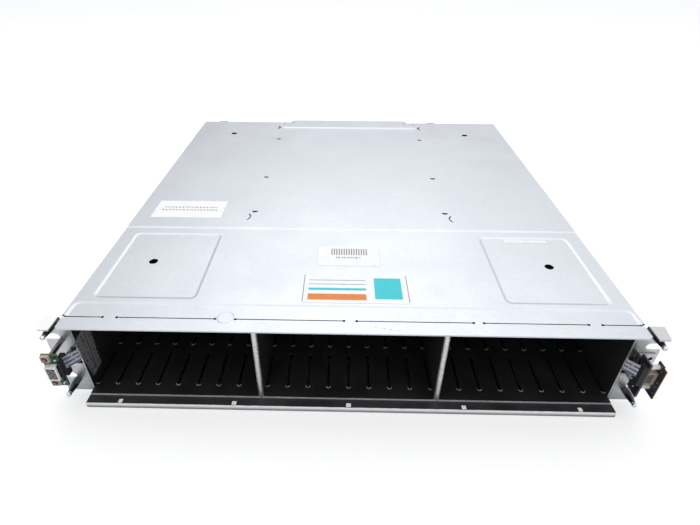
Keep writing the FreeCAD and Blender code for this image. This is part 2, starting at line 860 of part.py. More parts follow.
for label, z in (("upper", panel_z1 - switch_drop), ("lower", panel_z0 + switch_rise)):
    body = box(switch_cx - switch_half, switch_cx + switch_half, switch_y, panel_y,
               z - switch_half, z + switch_half)
    bore = pin_y(bore_radius(plunger_radius + running_gap, pin_sides), switch_cx, switch_y - past,
                 panel_y - switch_floor, z, pin_sides)
    switches.append(body.cut(bore))
    tip_y = switch_y - plunger_proud
    plunger = pin_y(plunger_radius, switch_cx, tip_y, tip_y + plunger_length, z, pin_sides)
    emit("push_button_" + label, plunger)
emit_group("switch_bodies", switches)

# Ribbon cables in the side gaps, from the midplane to a header at each ear
ribbon_x = wall_in - ribbon_gap
ribbon_low = notch_low + ribbon_lift
ribbon_high = ribbon_low + ribbon_width


def ribbon(reach, rise):
    # Flat cable on the right: level in the side gap, then climbing to its header
    return prism_x([(cage_back, ribbon_low), (ribbon_bend_y, ribbon_low), (-reach, ribbon_low + rise),
                    (-reach, ribbon_high + rise), (ribbon_bend_y, ribbon_high), (cage_back, ribbon_high)],
                   ribbon_x, ribbon_x + ribbon_thickness)


emit("ribbon_right", ribbon(right_ribbon_reach, right_ribbon_rise))
emit("ribbon_left", mirrored(ribbon(left_ribbon_reach, left_ribbon_rise)))
header_x0 = ribbon_x + ribbon_thickness
header_x1 = header_x0 + header_width
header_low = ribbon_low + header_foot
header = box(header_x0, header_x1, panel_back, panel_back + header_depth, header_low,
    header_low + header_height)
emit_group("ribbon_headers", [header, mirrored(header)])

# Right ear: bracket, two boards, spacers and the connector between the boards
leg_x = header_x1 + board_thickness
leg_out = leg_x + leg_sheet
bracket_z1 = notch_high + bracket_above
bracket_x1 = ear_out - bracket_inset
bracket = joined([box(leg_x, bracket_x1, -leg_sheet, 0.0, panel_z0, bracket_z1),
                  box(leg_x, leg_out, -leg_reach, 0.0, panel_z0, bracket_z1)])
bracket = bracket.cut(rod_y(bracket_hole, bracket_x1 - bracket_hole_inset, -leg_sheet - past, past,
                            bracket_z1 - bracket_hole_drop))
emit("board_bracket", bracket)
emit("inner_board", box(header_x1, leg_x, -inner_front, -inner_rear, notch_low - inner_below,
                        notch_high + inner_above))
outer_x = leg_out + board_gap
outer_z1 = notch_high + outer_above
outer_step_y = outer_step - outer_front
outer = prism_x([(-outer_front, notch_low - outer_below), (-outer_rear, notch_low - outer_below),
                 (-outer_rear, outer_z1), (outer_step_y, outer_z1),
                 (outer_step_y, outer_z1 - outer_step_drop),
                 (-outer_front, outer_z1 - outer_step_drop)], outer_x, outer_x + outer_thickness)
emit("outer_board", outer)
emit_group("board_spacers", [hex_x(spacer_radius, leg_out, outer_x, -spacer_reach, z)
                             for z in (outer_z1 - spacer_drop, notch_low - outer_below + spacer_rise)])
emit("link_connector", box(leg_out, outer_x, -spacer_reach - 0.5 * link_depth,
    -spacer_reach + 0.5 * link_depth,
                           notch_low - outer_below + link_rise, outer_z1 - link_drop))


def vent_row(x0, x1, count, width, y0, y1, z0, z1):
    step = (x1 - x0) / count
    tools = []
    for i in range(count):
        x = x0 + (i + 0.5) * step
        tools.append(box(x - 0.5 * width, x + 0.5 * width, y0, y1, z0, z1))
    return tools


def module_shell(x0, x1, z0, z1):
    # Closed sheet case of a module, with the thicker sheet at its rear
    outside = box(x0, x1, module_y0, module_y1, z0, z1)
    m = module_sheet
    return outside.cut(box(x0 + m, x1 - m, module_y0 + m, module_y1 - sheet, z0 + m, z1 - m))


def module_posts(x0, x1, z0, board_z):
    posts = []
    for x in (x0 + post_inset, x1 - post_inset):
        for y in (module_y0 + post_front, module_y1 - post_rear):
            posts.append(hex_z(post_radius, x, y, z0 + 0.5 * module_sheet, board_z))
    return posts


def module_board(x0, x1, y1, middle, z):
    # Main board with the tongue that enters the midplane's socket
    side = 0.5 * tongue_width
    return joined([
        box(x0, x1, module_y0 + board_lead, y1, z, z + board_thickness),
        box(middle - side, middle + side, module_y0 - tongue_length, module_y0 + tongue_root,
            z, z + board_thickness)])


def tongue_opening(middle, z):
    side = 0.5 * tongue_width + 2.0 * tongue_clearance
    return box(middle - side, middle + side, module_y0 - past, module_y0 + 2.0 * module_sheet,
               z - tongue_clearance, z + board_thickness + tongue_clearance)


def fan_blade(angle):
    blade = box(-0.5 * blade_thickness, 0.5 * blade_thickness, -0.5 * blade_chord, 0.5 * blade_chord,
                blade_root, fan_radius - blade_tip_gap)
    blade.rotate(V(0, 0, 0), V(0, 0, 1), blade_pitch)
    blade.rotate(V(0, 0, 0), V(0, 1, 0), angle)
    blade.translate(V(0, -blade_setback, 0))
    return blade


def cross_bar(half_width, y0, y1, length, angle, x, z):
    # Flat bar across a round opening, turned about the opening's axis
    bar = box(-half_width, half_width, y0, y1, -length, length)
    bar.rotate(V(0, 0, 0), V(0, 1, 0), angle)
    bar.translate(V(x, 0, z))
    return bar


def lever_profile(reach, hook):
    # Outline of a release lever about its pivot: nose, straight arm and finger hook
    return [(-lever_half, lever_bevel - lever_nose), (lever_bevel - lever_half, -lever_nose),
            (lever_half - lever_bevel, -lever_nose), (lever_half, lever_bevel - lever_nose),
            (lever_half, reach - hook_sheet), (hook, reach - hook_sheet), (hook, reach), (-lever_half, reach)]


# Power modules: two alike, each with a fan, an inlet with a rocker switch, and a release lever
rear_cut = (module_y1 - 2.0 * sheet, module_y1 + past)
lever_z = psu_z0 + psu_lever_rise
fan_z = 0.5 * (psu_z0 + psu_z1) + fan_rise
fan_y1 = module_y1 - sheet
fan_y0 = fan_y1 - fan_depth
trunnion_bore = bore_radius(trunnion_radius + running_gap, pin_sides)
inlet_z0 = psu_z0 + inlet_rise
inlet_z1 = inlet_z0 + inlet_height
rocker_z = inlet_z0 + rocker_rise
pivot_y = module_y1 - rocker_pivot
for label in ("left", "right"):
    x0 = psu_x0[label]
    x1 = x0 + psu_width
    middle = 0.5 * (x0 + x1)
    lever_x0 = x0 + psu_lever_offset
    lever_x1 = lever_x0 + psu_lever_width
    inlet_x = x1 - inlet_inset
    plate_half = inlet_half + inlet_lip
    fan_x = inlet_x - plate_half - fan_inlet_gap - fan_radius - guard_rim
    lugs = []
    for xa in (lever_x0 - lug_gap - lug_sheet, lever_x1 + lug_gap):
        lug = box(xa, xa + lug_sheet, module_y1 - 0.5 * sheet, lever_y, lever_z - lug_half,
            lever_z + lug_half)
        lug = lug.fuse(pin_x(lug_half, xa, xa + lug_sheet, lever_y, lever_z, pin_sides))
        lug_hole = pin_x(trunnion_bore, xa - past, xa + lug_sheet + past, lever_y, lever_z, pin_sides)
        lugs.append(lug.cut(lug_hole))
    case = joined([module_shell(x0, x1, psu_z0, psu_z1)] + module_posts(x0, x1, psu_z0, board_psu) + lugs)
    hole_half = inlet_half + inlet_clearance
    tools = [pin_y(fan_radius + fan_hole_gap, fan_x, rear_cut[0], rear_cut[1], fan_z, fan_sides)]
    tools.append(box(inlet_x - hole_half, inlet_x + hole_half, rear_cut[0], rear_cut[1],
                     inlet_z0 + inlet_end_lip - inlet_clearance, inlet_z1 - inlet_end_lip + inlet_clearance))
    tools.append(tongue_opening(middle, board_psu))
    tools += vent_row(x0 + psu_vent_side, x1 - psu_vent_side, psu_vents, psu_vent_width, module_y0 - past,
                      module_y0 + 2.0 * module_sheet, psu_z0 + psu_vent_rise, psu_z1 - psu_vent_drop)
    emit("psu_case_" + label, cut_by(case, tools))
    emit("psu_board_" + label, module_board(x0 + board_side, x1 - board_side, module_y1 - psu_board_rear,
                                            middle, board_psu))

    frame_half = fan_radius + fan_wall
    frame = box(fan_x - frame_half, fan_x + frame_half, fan_y0, fan_y1, fan_z - frame_half,
        fan_z + frame_half)
    frame = frame.cut(pin_y(bore_radius(fan_radius, fan_sides), fan_x, fan_y0 - past, fan_y1 + past, fan_z,
                            fan_sides))
    web = [prism_y(polygon(12, fan_web, fan_x, fan_z), fan_y1 - fan_web_depth, fan_y1)]
    web.append(pin_y(pin_radius, fan_x, fan_y0 + fan_pin_front, fan_y1 - 0.5 * fan_web_depth, fan_z,
                     pin_sides))
    for angle in (45.0, 135.0):
        web.append(cross_bar(0.5 * fan_arm, fan_y1 - fan_web_depth, fan_y1, fan_radius + 0.5 * fan_wall,
                             angle, fan_x, fan_z))
    emit("fan_frame_" + label, joined([frame] + web))

    hub_y = fan_y1 - fan_web_depth - fan_hub_gap
    hub_front = fan_y0 + fan_hub_front - hub_y
    hub = pin_y(fan_hub, 0.0, hub_front, 0.0, 0.0, fan_sides)
    rotor = joined([hub] + [fan_blade(i * 360.0 / blade_count) for i in range(blade_count)])
    hub_bore = bore_radius(pin_radius + running_gap, pin_sides)
    rotor = rotor.cut(pin_y(hub_bore, 0.0, hub_front - past, past, 0.0, pin_sides))
    rotor.translate(V(fan_x, hub_y, fan_z))
    emit("fan_rotor_" + label, rotor)

    guard_y1 = module_y1 + guard_sheet
    guard = []
    for outer_r, width in [(r, guard_wire) for r in guard_rings] + [(fan_radius + guard_rim, guard_rim)]:
        ring = prism_y(polygon(guard_sides, outer_r, fan_x, fan_z), module_y1, guard_y1)
        inside = polygon(guard_sides, outer_r - width, fan_x, fan_z)
        guard.append(ring.cut(prism_y(inside, module_y1 - past, guard_y1 + past)))
    for angle in (0.0, 90.0):
        guard.append(cross_bar(0.5 * guard_wire, module_y1, guard_y1, fan_radius + 0.5 * guard_rim, angle,
                               fan_x, fan_z))
    emit("fan_guard_" + label, joined(guard))

    inlet = joined([
        box(inlet_x - inlet_half, inlet_x + inlet_half, module_y1 - inlet_depth,
            module_y1 + 0.5 * inlet_plate,
            inlet_z0 + inlet_end_lip, inlet_z1 - inlet_end_lip),
        box(inlet_x - plate_half, inlet_x + plate_half, module_y1, module_y1 + inlet_plate, inlet_z0,
            inlet_z1)])
    well_y = module_y1 - well_depth
    mouth_y = module_y1 + inlet_plate + past
    well_z = inlet_z0 + well_rise
    inlet = inlet.cut(box(inlet_x - well_half, inlet_x + well_half, well_y, mouth_y, well_z,
        well_z + well_height))
    inlet = inlet.cut(box(inlet_x - rocker_well_half, inlet_x + rocker_well_half, well_y, mouth_y,
                          rocker_z - 0.5 * rocker_well_height, rocker_z + 0.5 * rocker_well_height))
    pin_end = rocker_pin_half + rocker_pin_end
    inlet = inlet.cut(pin_x(bore_radius(rocker_pin + running_gap, pin_sides), inlet_x - pin_end,
                            inlet_x + pin_end, pivot_y, rocker_z, pin_sides))
    prongs = []
    prong_z = well_z + 0.5 * well_height
    for dx, dz in ((0.0, -prong_pitch), (-prong_offset, 0.0), (0.0, prong_pitch)):
        px = inlet_x + dx
        pz = prong_z + dz - 0.5 * prong_height
        prongs.append(box(px - prong_half, px + prong_half, well_y - past, module_y1 - prong_tip,
                          pz, pz + prong_height))
    emit("power_inlet_" + label, joined([inlet] + prongs))

    tip = 0.5 * rocker_length
    root = 0.5 * rocker_root
    rocker = prism_x([(rocker_edge, -tip), (rocker_proud, rocker_edge - tip), (rocker_proud - rocker_dip,
        0.0),
                      (rocker_proud, tip - rocker_edge), (rocker_edge, tip), (-rocker_back, root),
                      (-rocker_back, -root)], -rocker_half, rocker_half)
    rocker_bar = pin_x(rocker_pin, -rocker_pin_half, rocker_pin_half, 0.0, 0.0, pin_sides)
    rocker = rocker.fuse(rocker_bar).removeSplitter()
    rocker.rotate(V(0, 0, 0), V(1, 0, 0), rocker_tilt)
    rocker.translate(V(inlet_x, pivot_y, rocker_z))
    emit("rocker_switch_" + label, rocker)

    lever_reach = psu_z1 - psu_lever_drop - lever_z
    arm = [(lever_y + a, lever_z + b) for a, b in lever_profile(lever_reach, psu_lever_hook)]
    pin_reach = lug_gap + lug_sheet
    emit("psu_lever_" + label, joined([
        prism_x(arm, lever_x0, lever_x1),
        pin_x(trunnion_radius, lever_x0 - pin_reach, lever_x1 + pin_reach, lever_y, lever_z, pin_sides)]))

# Controller modules: two alike, one above the other
reach = bay_wall_x - canister_side_gap
lever_x = reach - eject_inset
for label, z0, board_z in (("lower", canister_low, board_low), ("upper", canister_high, board_high)):
    z1 = z0 + canister_height
    lug_low = z0 + eject_rise
    lug_high = lug_low + eject_height
    lugs = []
    for side in (-1.0, 1.0):
        lx = side * lever_x
        for za in (lug_low, lug_high - lug_sheet):
            zb = za + lug_sheet
            lug = box(lx - lug_half, lx + lug_half, module_y1 - 0.5 * sheet, lever_y, za, zb)
            lug = lug.fuse(pin_z(lug_half, lx, lever_y, za, zb, pin_sides))
            lugs.append(lug.cut(pin_z(trunnion_bore, lx, lever_y, za - past, zb + past, pin_sides)))
    case = joined([module_shell(-reach, reach, z0, z1)] + module_posts(-reach, reach, z0, board_z) + lugs)
    port_z = board_z + board_thickness
    tools = [tongue_opening(0.0, board_z)]
    ports = []
    for i in range(port_count):
        px = (i - 0.5 * (port_count - 1)) * port_pitch
        port_half = 0.5 * port_width
        gap = port_half + port_clearance
        tools.append(box(px - gap, px + gap, rear_cut[0], rear_cut[1], port_z - port_clearance,
                         port_z + port_height + port_clearance))
        port = box(px - port_half, px + port_half, module_y1 - port_depth, module_y1 + port_proud,
                   port_z, port_z + port_height)
        mouth_z = port_z + port_mouth_rise
        ports.append(port.cut(box(px - 0.5 * port_mouth, px + 0.5 * port_mouth, module_y1 - port_mouth_depth,
                                  module_y1 + past, mouth_z, mouth_z + port_mouth_height)))
    vent_z = z1 - vent_drop - vent_height
    vent_half = reach - vent_side
    tools += vent_row(-vent_half, vent_half, rear_vents, vent_width, rear_cut[0], rear_cut[1],
                      vent_z, vent_z + vent_height)
    inner_half = reach - inner_vent_side
    tools += vent_row(-inner_half, inner_half, inner_vents, 2.0 * vent_width, module_y0 - past,
                      module_y0 + 2.0 * module_sheet, z0 + inner_vent_rise, z1 - inner_vent_drop)
    emit("controller_case_" + label, cut_by(case, tools))
    emit_group("network_sockets_" + label, ports)
    emit("controller_board_" + label, module_board(-reach + board_side, reach - board_side,
                                                   module_y1 - board_rear, 0.0, board_z))
    arm_gap = lug_sheet + lug_gap
    arm = [(lever_x - b, lever_y + a) for a, b in lever_profile(eject_length, eject_hook)]
    lever = joined([
        prism_z(arm, lug_low + arm_gap, lug_high - arm_gap),
        pin_z(trunnion_radius, lever_x, lever_y, lug_low, lug_high, pin_sides)])
    emit("eject_lever_" + label + "_right", lever)
    emit("eject_lever_" + label + "_left", mirrored(lever))
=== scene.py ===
# Looks of the rack storage enclosure: finishes, labels, board parts, small fasteners, light and camera.
# Lengths in metres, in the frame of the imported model: +Z up, front towards -Y.
import math
import random

import bmesh
import bpy
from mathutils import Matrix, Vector


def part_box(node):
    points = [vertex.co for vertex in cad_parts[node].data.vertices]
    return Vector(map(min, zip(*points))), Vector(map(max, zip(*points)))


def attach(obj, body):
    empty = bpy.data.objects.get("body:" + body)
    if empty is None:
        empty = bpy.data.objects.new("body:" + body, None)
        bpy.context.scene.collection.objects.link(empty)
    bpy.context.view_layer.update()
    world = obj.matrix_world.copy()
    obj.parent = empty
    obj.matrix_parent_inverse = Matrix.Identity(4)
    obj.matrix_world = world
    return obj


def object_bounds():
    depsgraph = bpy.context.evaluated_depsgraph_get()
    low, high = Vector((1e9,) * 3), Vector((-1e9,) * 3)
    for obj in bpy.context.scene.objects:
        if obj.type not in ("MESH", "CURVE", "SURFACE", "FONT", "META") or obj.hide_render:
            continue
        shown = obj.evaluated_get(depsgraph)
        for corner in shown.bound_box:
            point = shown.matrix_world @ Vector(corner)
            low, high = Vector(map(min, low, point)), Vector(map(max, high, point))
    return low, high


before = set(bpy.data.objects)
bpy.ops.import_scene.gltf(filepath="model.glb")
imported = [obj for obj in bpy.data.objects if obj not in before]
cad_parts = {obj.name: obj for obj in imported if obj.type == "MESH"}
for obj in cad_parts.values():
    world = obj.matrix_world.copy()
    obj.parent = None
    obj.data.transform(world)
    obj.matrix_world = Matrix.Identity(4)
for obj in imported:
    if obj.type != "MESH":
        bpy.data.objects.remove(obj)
cad_low, cad_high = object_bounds()
scene = bpy.context.scene
sides = ("left", "right")
levels = ("lower", "upper")

# Heights of the cover: its top, and two pressed levels below it
ear_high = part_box("rack_ear_left")[1]
cover_top = ear_high.z
step_depth = 0.0008
level_1 = cover_top - step_depth
level_2 = level_1 - step_depth

# Fine grain of each kind of surface: noise scale, noise detail, bump strength, bump height
sheet_grain = (520.0, 3.0, 0.10, 0.0003)
coat_grain = (900.0, 3.0, 0.10, 0.0002)
stud_grain = (1500.0, 2.0, 0.08, 0.0001)
shell_grain = (900.0, 3.0, 0.06, 0.0001)
moulded_grain = (2200.0, 2.0, 0.12, 0.0001)
paper_grain = (1300.0, 3.0, 0.06, 0.0001)

# Colours that more than one finish has; the first is painted shade of recesses, the second the white of
# painted highlights
nook_shade_dark = (0.010, 0.0095, 0.009)
highlight_white = (0.99, 0.99, 0.99)
mouth_black = (0.012, 0.012, 0.013)

# Part of a face's normal along an axis from which the face counts as facing that way
squarely = 0.9
mostly = 0.7


class Finish:
    """One procedural material, with short helpers for its nodes."""

    def __init__(self, name):
        self.material = bpy.data.materials.new(name)
        self.material.use_nodes = True
        self.nodes = self.material.node_tree.nodes
        self.links = self.material.node_tree.links
        self.shader = self.nodes["Principled BSDF"]
        self.place = self.nodes.new("ShaderNodeTexCoord").outputs["Object"]

    def set(self, **values):
        """Constant values on the shader's own sockets, with _ for each space in a socket's name."""
        for name, value in values.items():
            self.shader.inputs[name.replace("_", " ")].default_value = value

    def link(self, source, socket):
        self.links.new(source, self.shader.inputs[socket])

    def scaled(self, x, y, z):
        node = self.nodes.new("ShaderNodeMapping")
        node.inputs["Scale"].default_value = (x, y, z)
        self.links.new(self.place, node.inputs["Vector"])
        return node.outputs["Vector"]

    def noise(self, scale, detail, vector=None):
        node = self.nodes.new("ShaderNodeTexNoise")
        node.inputs["Scale"].default_value = scale
        node.inputs["Detail"].default_value = detail
        self.links.new(vector or self.place, node.inputs["Vector"])
        return node.outputs["Fac"]

    def part(self, vector, axis):
        node = self.nodes.new("ShaderNodeSeparateXYZ")
        self.links.new(vector, node.inputs["Vector"])
        return node.outputs[axis]

    def axis(self, name):
        return self.part(self.place, name)

    def true_normal(self):
        return self.nodes.new("ShaderNodeNewGeometry").outputs["True Normal"]

    def facing(self, axis):
        """How squarely a face looks along an axis, either way."""
        return self.math("ABSOLUTE", self.part(self.true_normal(), axis))

    def math(self, operation, first, second=None, clamp=False):
        node = self.nodes.new("ShaderNodeMath")
        node.operation = operation
        node.use_clamp = clamp
        for socket, value in zip(node.inputs, (first, second)):
            if isinstance(value, (int, float)):
                socket.default_value = value
            elif value is not None:
                self.links.new(value, socket)
        return node.outputs["Value"]

    def plus(self, first, second):
        return self.math("ADD", first, second)

    def minus(self, first, second):
        return self.math("SUBTRACT", first, second)

    def times(self, first, *others):
        for other in others:
            first = self.math("MULTIPLY", first, other)
        return first

    def above(self, value, limit):
        return self.math("GREATER_THAN", value, limit)

    def below(self, value, limit):
        return self.math("LESS_THAN", value, limit)

    def range(self, value, low, high, to_low=0.0, to_high=1.0):
        node = self.nodes.new("ShaderNodeMapRange")
        node.interpolation_type = "SMOOTHSTEP"
        for socket, number in zip(("From Min", "From Max", "To Min", "To Max"), (low, high, to_low, to_high)):
            node.inputs[socket].default_value = number
        self.links.new(value, node.inputs["Value"])
        return node.outputs["Result"]

    def ramp(self, factor, *stops):
        node = self.nodes.new("ShaderNodeValToRGB")
        elements = node.color_ramp.elements
        while len(elements) < len(stops):
            elements.new(1.0)
        for element, (position, colour) in zip(elements, stops):
            element.position = position
            element.color = (*colour, 1.0)
        self.links.new(factor, node.inputs["Fac"])
        return node.outputs["Color"]

    def clouded(self, dark, light, scale=260.0, detail=3.0):
        """Two close colours in small clouds."""
        return self.ramp(self.noise(scale, detail), (0.3, dark), (0.7, light))

    def mix(self, factor, first, second):
        node = self.nodes.new("ShaderNodeMix")
        node.data_type = "RGBA"
        self.links.new(factor, node.inputs["Factor"])
        for socket, value in zip((node.inputs[6], node.inputs[7]), (first, second)):
            if isinstance(value, tuple):
                socket.default_value = (*value, 1.0)
            else:
                self.links.new(value, socket)
        return node.outputs[2]

    def painted_nook_shade(self, colour, distance, low, high):
        """Painted shade: a dull dark colour, from ambient occlusion, where the surface is closely shut in,
        such as the walls of small holes.
        """
        node = self.nodes.new("ShaderNodeAmbientOcclusion")
        node.inputs["Distance"].default_value = distance
        return self.mix(self.range(node.outputs["AO"], low, high), nook_shade_dark, colour)

    def rough_clouds(self, low, high, scale=30.0):
        """Roughness that drifts between two values."""
        self.link(self.range(self.noise(scale, 4.0), 0.3, 0.7, low, high), "Roughness")

    def bump(self, height, strength, distance, normal=None):
        node = self.nodes.new("ShaderNodeBump")
        node.inputs["Strength"].default_value = strength
        node.inputs["Distance"].default_value = distance
        self.links.new(height, node.inputs["Height"])
        if normal:
            self.links.new(normal, node.inputs["Normal"])
        self.link(node.outputs["Normal"], "Normal")

    def grain(self, scale, detail, strength, height, normal=None):
        self.bump(self.noise(scale, detail), strength, height, normal)


def shaded(colour, share):
    return tuple(share * part for part in colour)


def sheet_colours(finish, dark, light):
    """Colour of zinc-coated sheet: broad clouds, and a fine grain a little longer across the sheet."""
    clouds = finish.noise(11.0, 3.0)
    grain = finish.noise(1.0, 3.0, finish.scaled(260.0, 420.0, 420.0))
    both = finish.plus(finish.times(clouds, 0.45), finish.times(grain, 0.55))
    return finish.ramp(both, (0.32, dark), (0.68, light))


def galvanised(name, dark, light, rough, nook_shade=False):
    """Bare zinc-coated sheet; on request, painted shade makes it dull and dark in the narrow gaps beside it.
    """
    finish = Finish(name)
    colour = sheet_colours(finish, dark, light)
    if nook_shade:
        colour = finish.painted_nook_shade(colour, distance=0.012, low=0.25, high=0.75)
    finish.link(colour, "Base Color")
    finish.set(Metallic=1.0)
    finish.rough_clouds(rough - 0.04, rough + 0.04)
    finish.grain(*sheet_grain)
    return finish


def cover_steel():
    """Zinc-coated sheet whose pressed steps shade as rolled edges, steepest at half height."""
    finish = Finish("cover_steel")
    zinc = sheet_colours(finish, (0.64, 0.67, 0.72), (0.705, 0.735, 0.785))
    # Painted shade darkens the sheet in its recesses, such as the walls of its small holes
    finish.link(finish.painted_nook_shade(zinc, distance=0.006, low=0.70, high=0.92), "Base Color")
    finish.set(Metallic=1.0)
    finish.rough_clouds(0.31, 0.37)
    # Share of the way up the pressed step, or up the raised rear part, that a point lies on
    height = finish.axis("Z")
    raised_depth = cad_high.z - cover_top
    just_above = 0.00003
    sharpness = 1.6
    down = finish.math("FRACT", finish.math("DIVIDE", finish.minus(height, level_2), step_depth))
    up = finish.math("DIVIDE", finish.minus(height, cover_top), raised_depth, clamp=True)
    raised = finish.above(height, cover_top + just_above)
    way_up = finish.plus(finish.times(raised, up), finish.times(finish.minus(1.0, raised), down))
    rolled = finish.times(way_up, finish.minus(1.0, way_up), 4.0)
    # Normal that leans with the step at half height and stands upright at its ends
    true_normal = finish.true_normal()
    on_step = finish.above(finish.part(true_normal, "Z"), squarely)
    flat = finish.times(on_step, finish.minus(1.0, finish.math("POWER", rolled, sharpness)))
    upright = finish.nodes.new("ShaderNodeCombineXYZ")
    finish.links.new(flat, upright.inputs["Z"])
    leaning = finish.nodes.new("ShaderNodeVectorMath")
    leaning.operation = "SCALE"
    finish.links.new(true_normal, leaning.inputs[0])
    finish.links.new(finish.minus(1.0, flat), leaning.inputs["Scale"])
    total = finish.nodes.new("ShaderNodeVectorMath")
    finish.links.new(leaning.outputs["Vector"], total.inputs[0])
    finish.links.new(upright.outputs["Vector"], total.inputs[1])
    finish.grain(*sheet_grain, total.outputs["Vector"])
    return finish


def ear_steel():
    """Plain sheet with painted shade in its recesses; painted highlights whiten the folded tab on top and the
    bare inner edge.
    """
    finish = Finish("ear_steel")
    ear_sheet = 0.0016
    edge_reach = 0.0003
    tab_from = ear_high.z - 0.0006
    tab_to = ear_high.z - 0.0002
    # The bare inner edge is whitened as a painted highlight
    aside = finish.above(finish.facing("X"), squarely)
    inner = finish.below(finish.math("ABSOLUTE", finish.axis("X")), -ear_high.x + edge_reach)
    before = finish.below(finish.axis("Y"), ear_sheet)
    bare_edge_highlight = finish.times(aside, inner, before)
    # The flange's grey, darker than the cover's, is partly painted shade of its front face
    flange = sheet_colours(finish, (0.46, 0.465, 0.48), (0.64, 0.645, 0.66))
    # Painted shade in the flange's recesses
    flange = finish.painted_nook_shade(flange, distance=0.004, low=0.35, high=0.7)
    steel = finish.mix(bare_edge_highlight, flange, (0.95, 0.94, 0.90))
    # Painted highlight on the folded tab, whiter on the left ear than on the right; the tab and the inner
    # edge are made less metallic so that they read white
    tab = finish.range(finish.axis("Z"), tab_from, tab_to)
    tab_highlight_colour = finish.mix(finish.above(finish.axis("X"), 0.0), highlight_white, (0.63, 0.63, 0.64))
    finish.link(finish.mix(tab, steel, tab_highlight_colour), "Base Color")
    finish.link(finish.range(finish.math("MAXIMUM", tab, bare_edge_highlight), 0.0, 1.0, 1.0, 0.3), "Metallic")
    finish.rough_clouds(0.32, 0.44)
    finish.grain(*sheet_grain)
    return finish


def plastic(name, colour, rough, gloss=0.5):
    """Moulded plastic with faint clouds and a fine grain."""
    finish = Finish(name)
    finish.set(Roughness=rough, Specular_IOR_Level=gloss)
    finish.link(finish.clouded(shaded(colour, 0.9), colour), "Base Color")
    finish.grain(*moulded_grain)
    return finish


def painted(name, bare=None, steel_light=0.84, coat_light=0.026, metal=1.0, rim=None):
    """Black coat; bare(finish) masks bare edges, where steel shows, which whiten upward over the heights of a
    rim as a painted highlight.
    """
    finish = Finish(name)
    coat_dark = 0.55 * coat_light
    coat = finish.ramp(finish.noise(38.0, 5.0), (0.3, (coat_dark, coat_dark, 1.08 * coat_dark)),
                       (0.72, (coat_light, coat_light, 1.1 * coat_light)))
    if bare:
        mask = bare(finish)
        steel = sheet_colours(finish, (0.57 * steel_light,) * 3, (steel_light,) * 3)
        if rim:
            # Painted highlight: the bare steel turns white towards the top of the rim's heights
            steel = finish.mix(finish.range(finish.axis("Z"), *rim), steel, highlight_white)
        finish.link(finish.mix(mask, coat, steel), "Base Color")
        finish.link(finish.times(mask, metal), "Metallic")
    else:
        finish.link(coat, "Base Color")
    finish.rough_clouds(0.36, 0.5, 60.0)
    finish.grain(*coat_grain)
    return finish


def front_edge(node, reach, blend):
    """Mask of a node's front edge, as far back as a reach, with a worn border."""
    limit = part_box(node)[0].y + reach

    def mask(finish):
        wear = finish.times(finish.minus(finish.noise(240.0, 4.0), 0.5), 2.0 * blend)
        return finish.range(finish.plus(finish.axis("Y"), wear), limit + blend, limit - blend)
    return mask


def board(name, dark, light, edge, thick_axis, edge_from=None):
    """Solder mask with faint tracks. The cut edge has its own colour, or has it from one depth on."""
    finish = Finish(name)
    quarter = math.pi / 2.0
    turns = {"X": (0.0, quarter, 0.0), "Y": (quarter, 0.0, 0.0), "Z": (0.0, 0.0, 0.0)}
    turned = finish.nodes.new("ShaderNodeMapping")
    turned.inputs["Rotation"].default_value = turns[thick_axis]
    finish.links.new(finish.place, turned.inputs["Vector"])
    tracks = finish.nodes.new("ShaderNodeTexBrick")
    tracks.inputs["Scale"].default_value = 420.0
    tracks.inputs["Mortar Size"].default_value = 0.05
    for socket, colour in (("Color1", dark), ("Color2", shaded(dark, 0.85)), ("Mortar", light)):
        tracks.inputs[socket].default_value = (*colour, 1.0)
    finish.links.new(turned.outputs["Vector"], tracks.inputs["Vector"])
    cut = edge
    if edge_from is not None:
        cut = finish.mix(finish.above(finish.axis(thick_axis), edge_from), dark, edge)
    flat = finish.above(finish.facing(thick_axis), mostly)
    finish.link(finish.mix(flat, cut, tracks.outputs["Color"]), "Base Color")
    finish.set(Roughness=0.38)
    finish.bump(tracks.outputs["Fac"], 0.15, 0.0001)
    return finish


def ribbon_film(side, shade):
    """White film with a painted shadow near its header, and broken violet conductors that rise with the
    cable.
    """
    finish = Finish("ribbon_film_" + side)
    low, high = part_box("ribbon_" + side)
    bend_y = 0.002
    width = 0.012
    conductors = 3.0
    rise = (high.z - low.z) - width
    run = finish.math("DIVIDE", finish.minus(bend_y, finish.axis("Y")), bend_y - low.y, clamp=True)
    across = finish.minus(finish.minus(finish.axis("Z"), low.z), finish.times(run, rise))
    wave = finish.math("SINE", finish.times(across, 2.0 * math.pi * conductors / width))
    stripes = finish.range(wave, 0.35, 0.7)
    broken = finish.range(finish.noise(1.0, 2.0, finish.scaled(0.0, 330.0, 260.0)), 0.38, 0.46)
    # Painted shadow: the film darkens towards its header
    film = finish.mix(finish.range(run, 0.55, 0.95), (0.86, 0.86, 0.87), shade)
    finish.link(finish.mix(finish.times(stripes, broken), film, (0.05, 0.04, 0.30)), "Base Color")
    finish.set(Roughness=0.35)
    finish.bump(wave, 0.25, 0.0003)
    return finish


def stud_steel():
    """One metal in two tones: a dark shank as painted shade and a pale ball tip as painted highlight."""
    finish = Finish("stud_steel")
    tip = front_edge("ball_studs", reach=0.0036, blend=0.0002)(finish)
    shank = finish.clouded((0.06, 0.062, 0.068), (0.13, 0.135, 0.145), 300.0, 4.0)
    finish.link(finish.mix(tip, shank, (0.80, 0.82, 0.84)), "Base Color")
    finish.set(Metallic=1.0)
    finish.link(finish.range(tip, 0.0, 1.0, 0.30, 0.2), "Roughness")
    finish.grain(*stud_grain)
    return finish


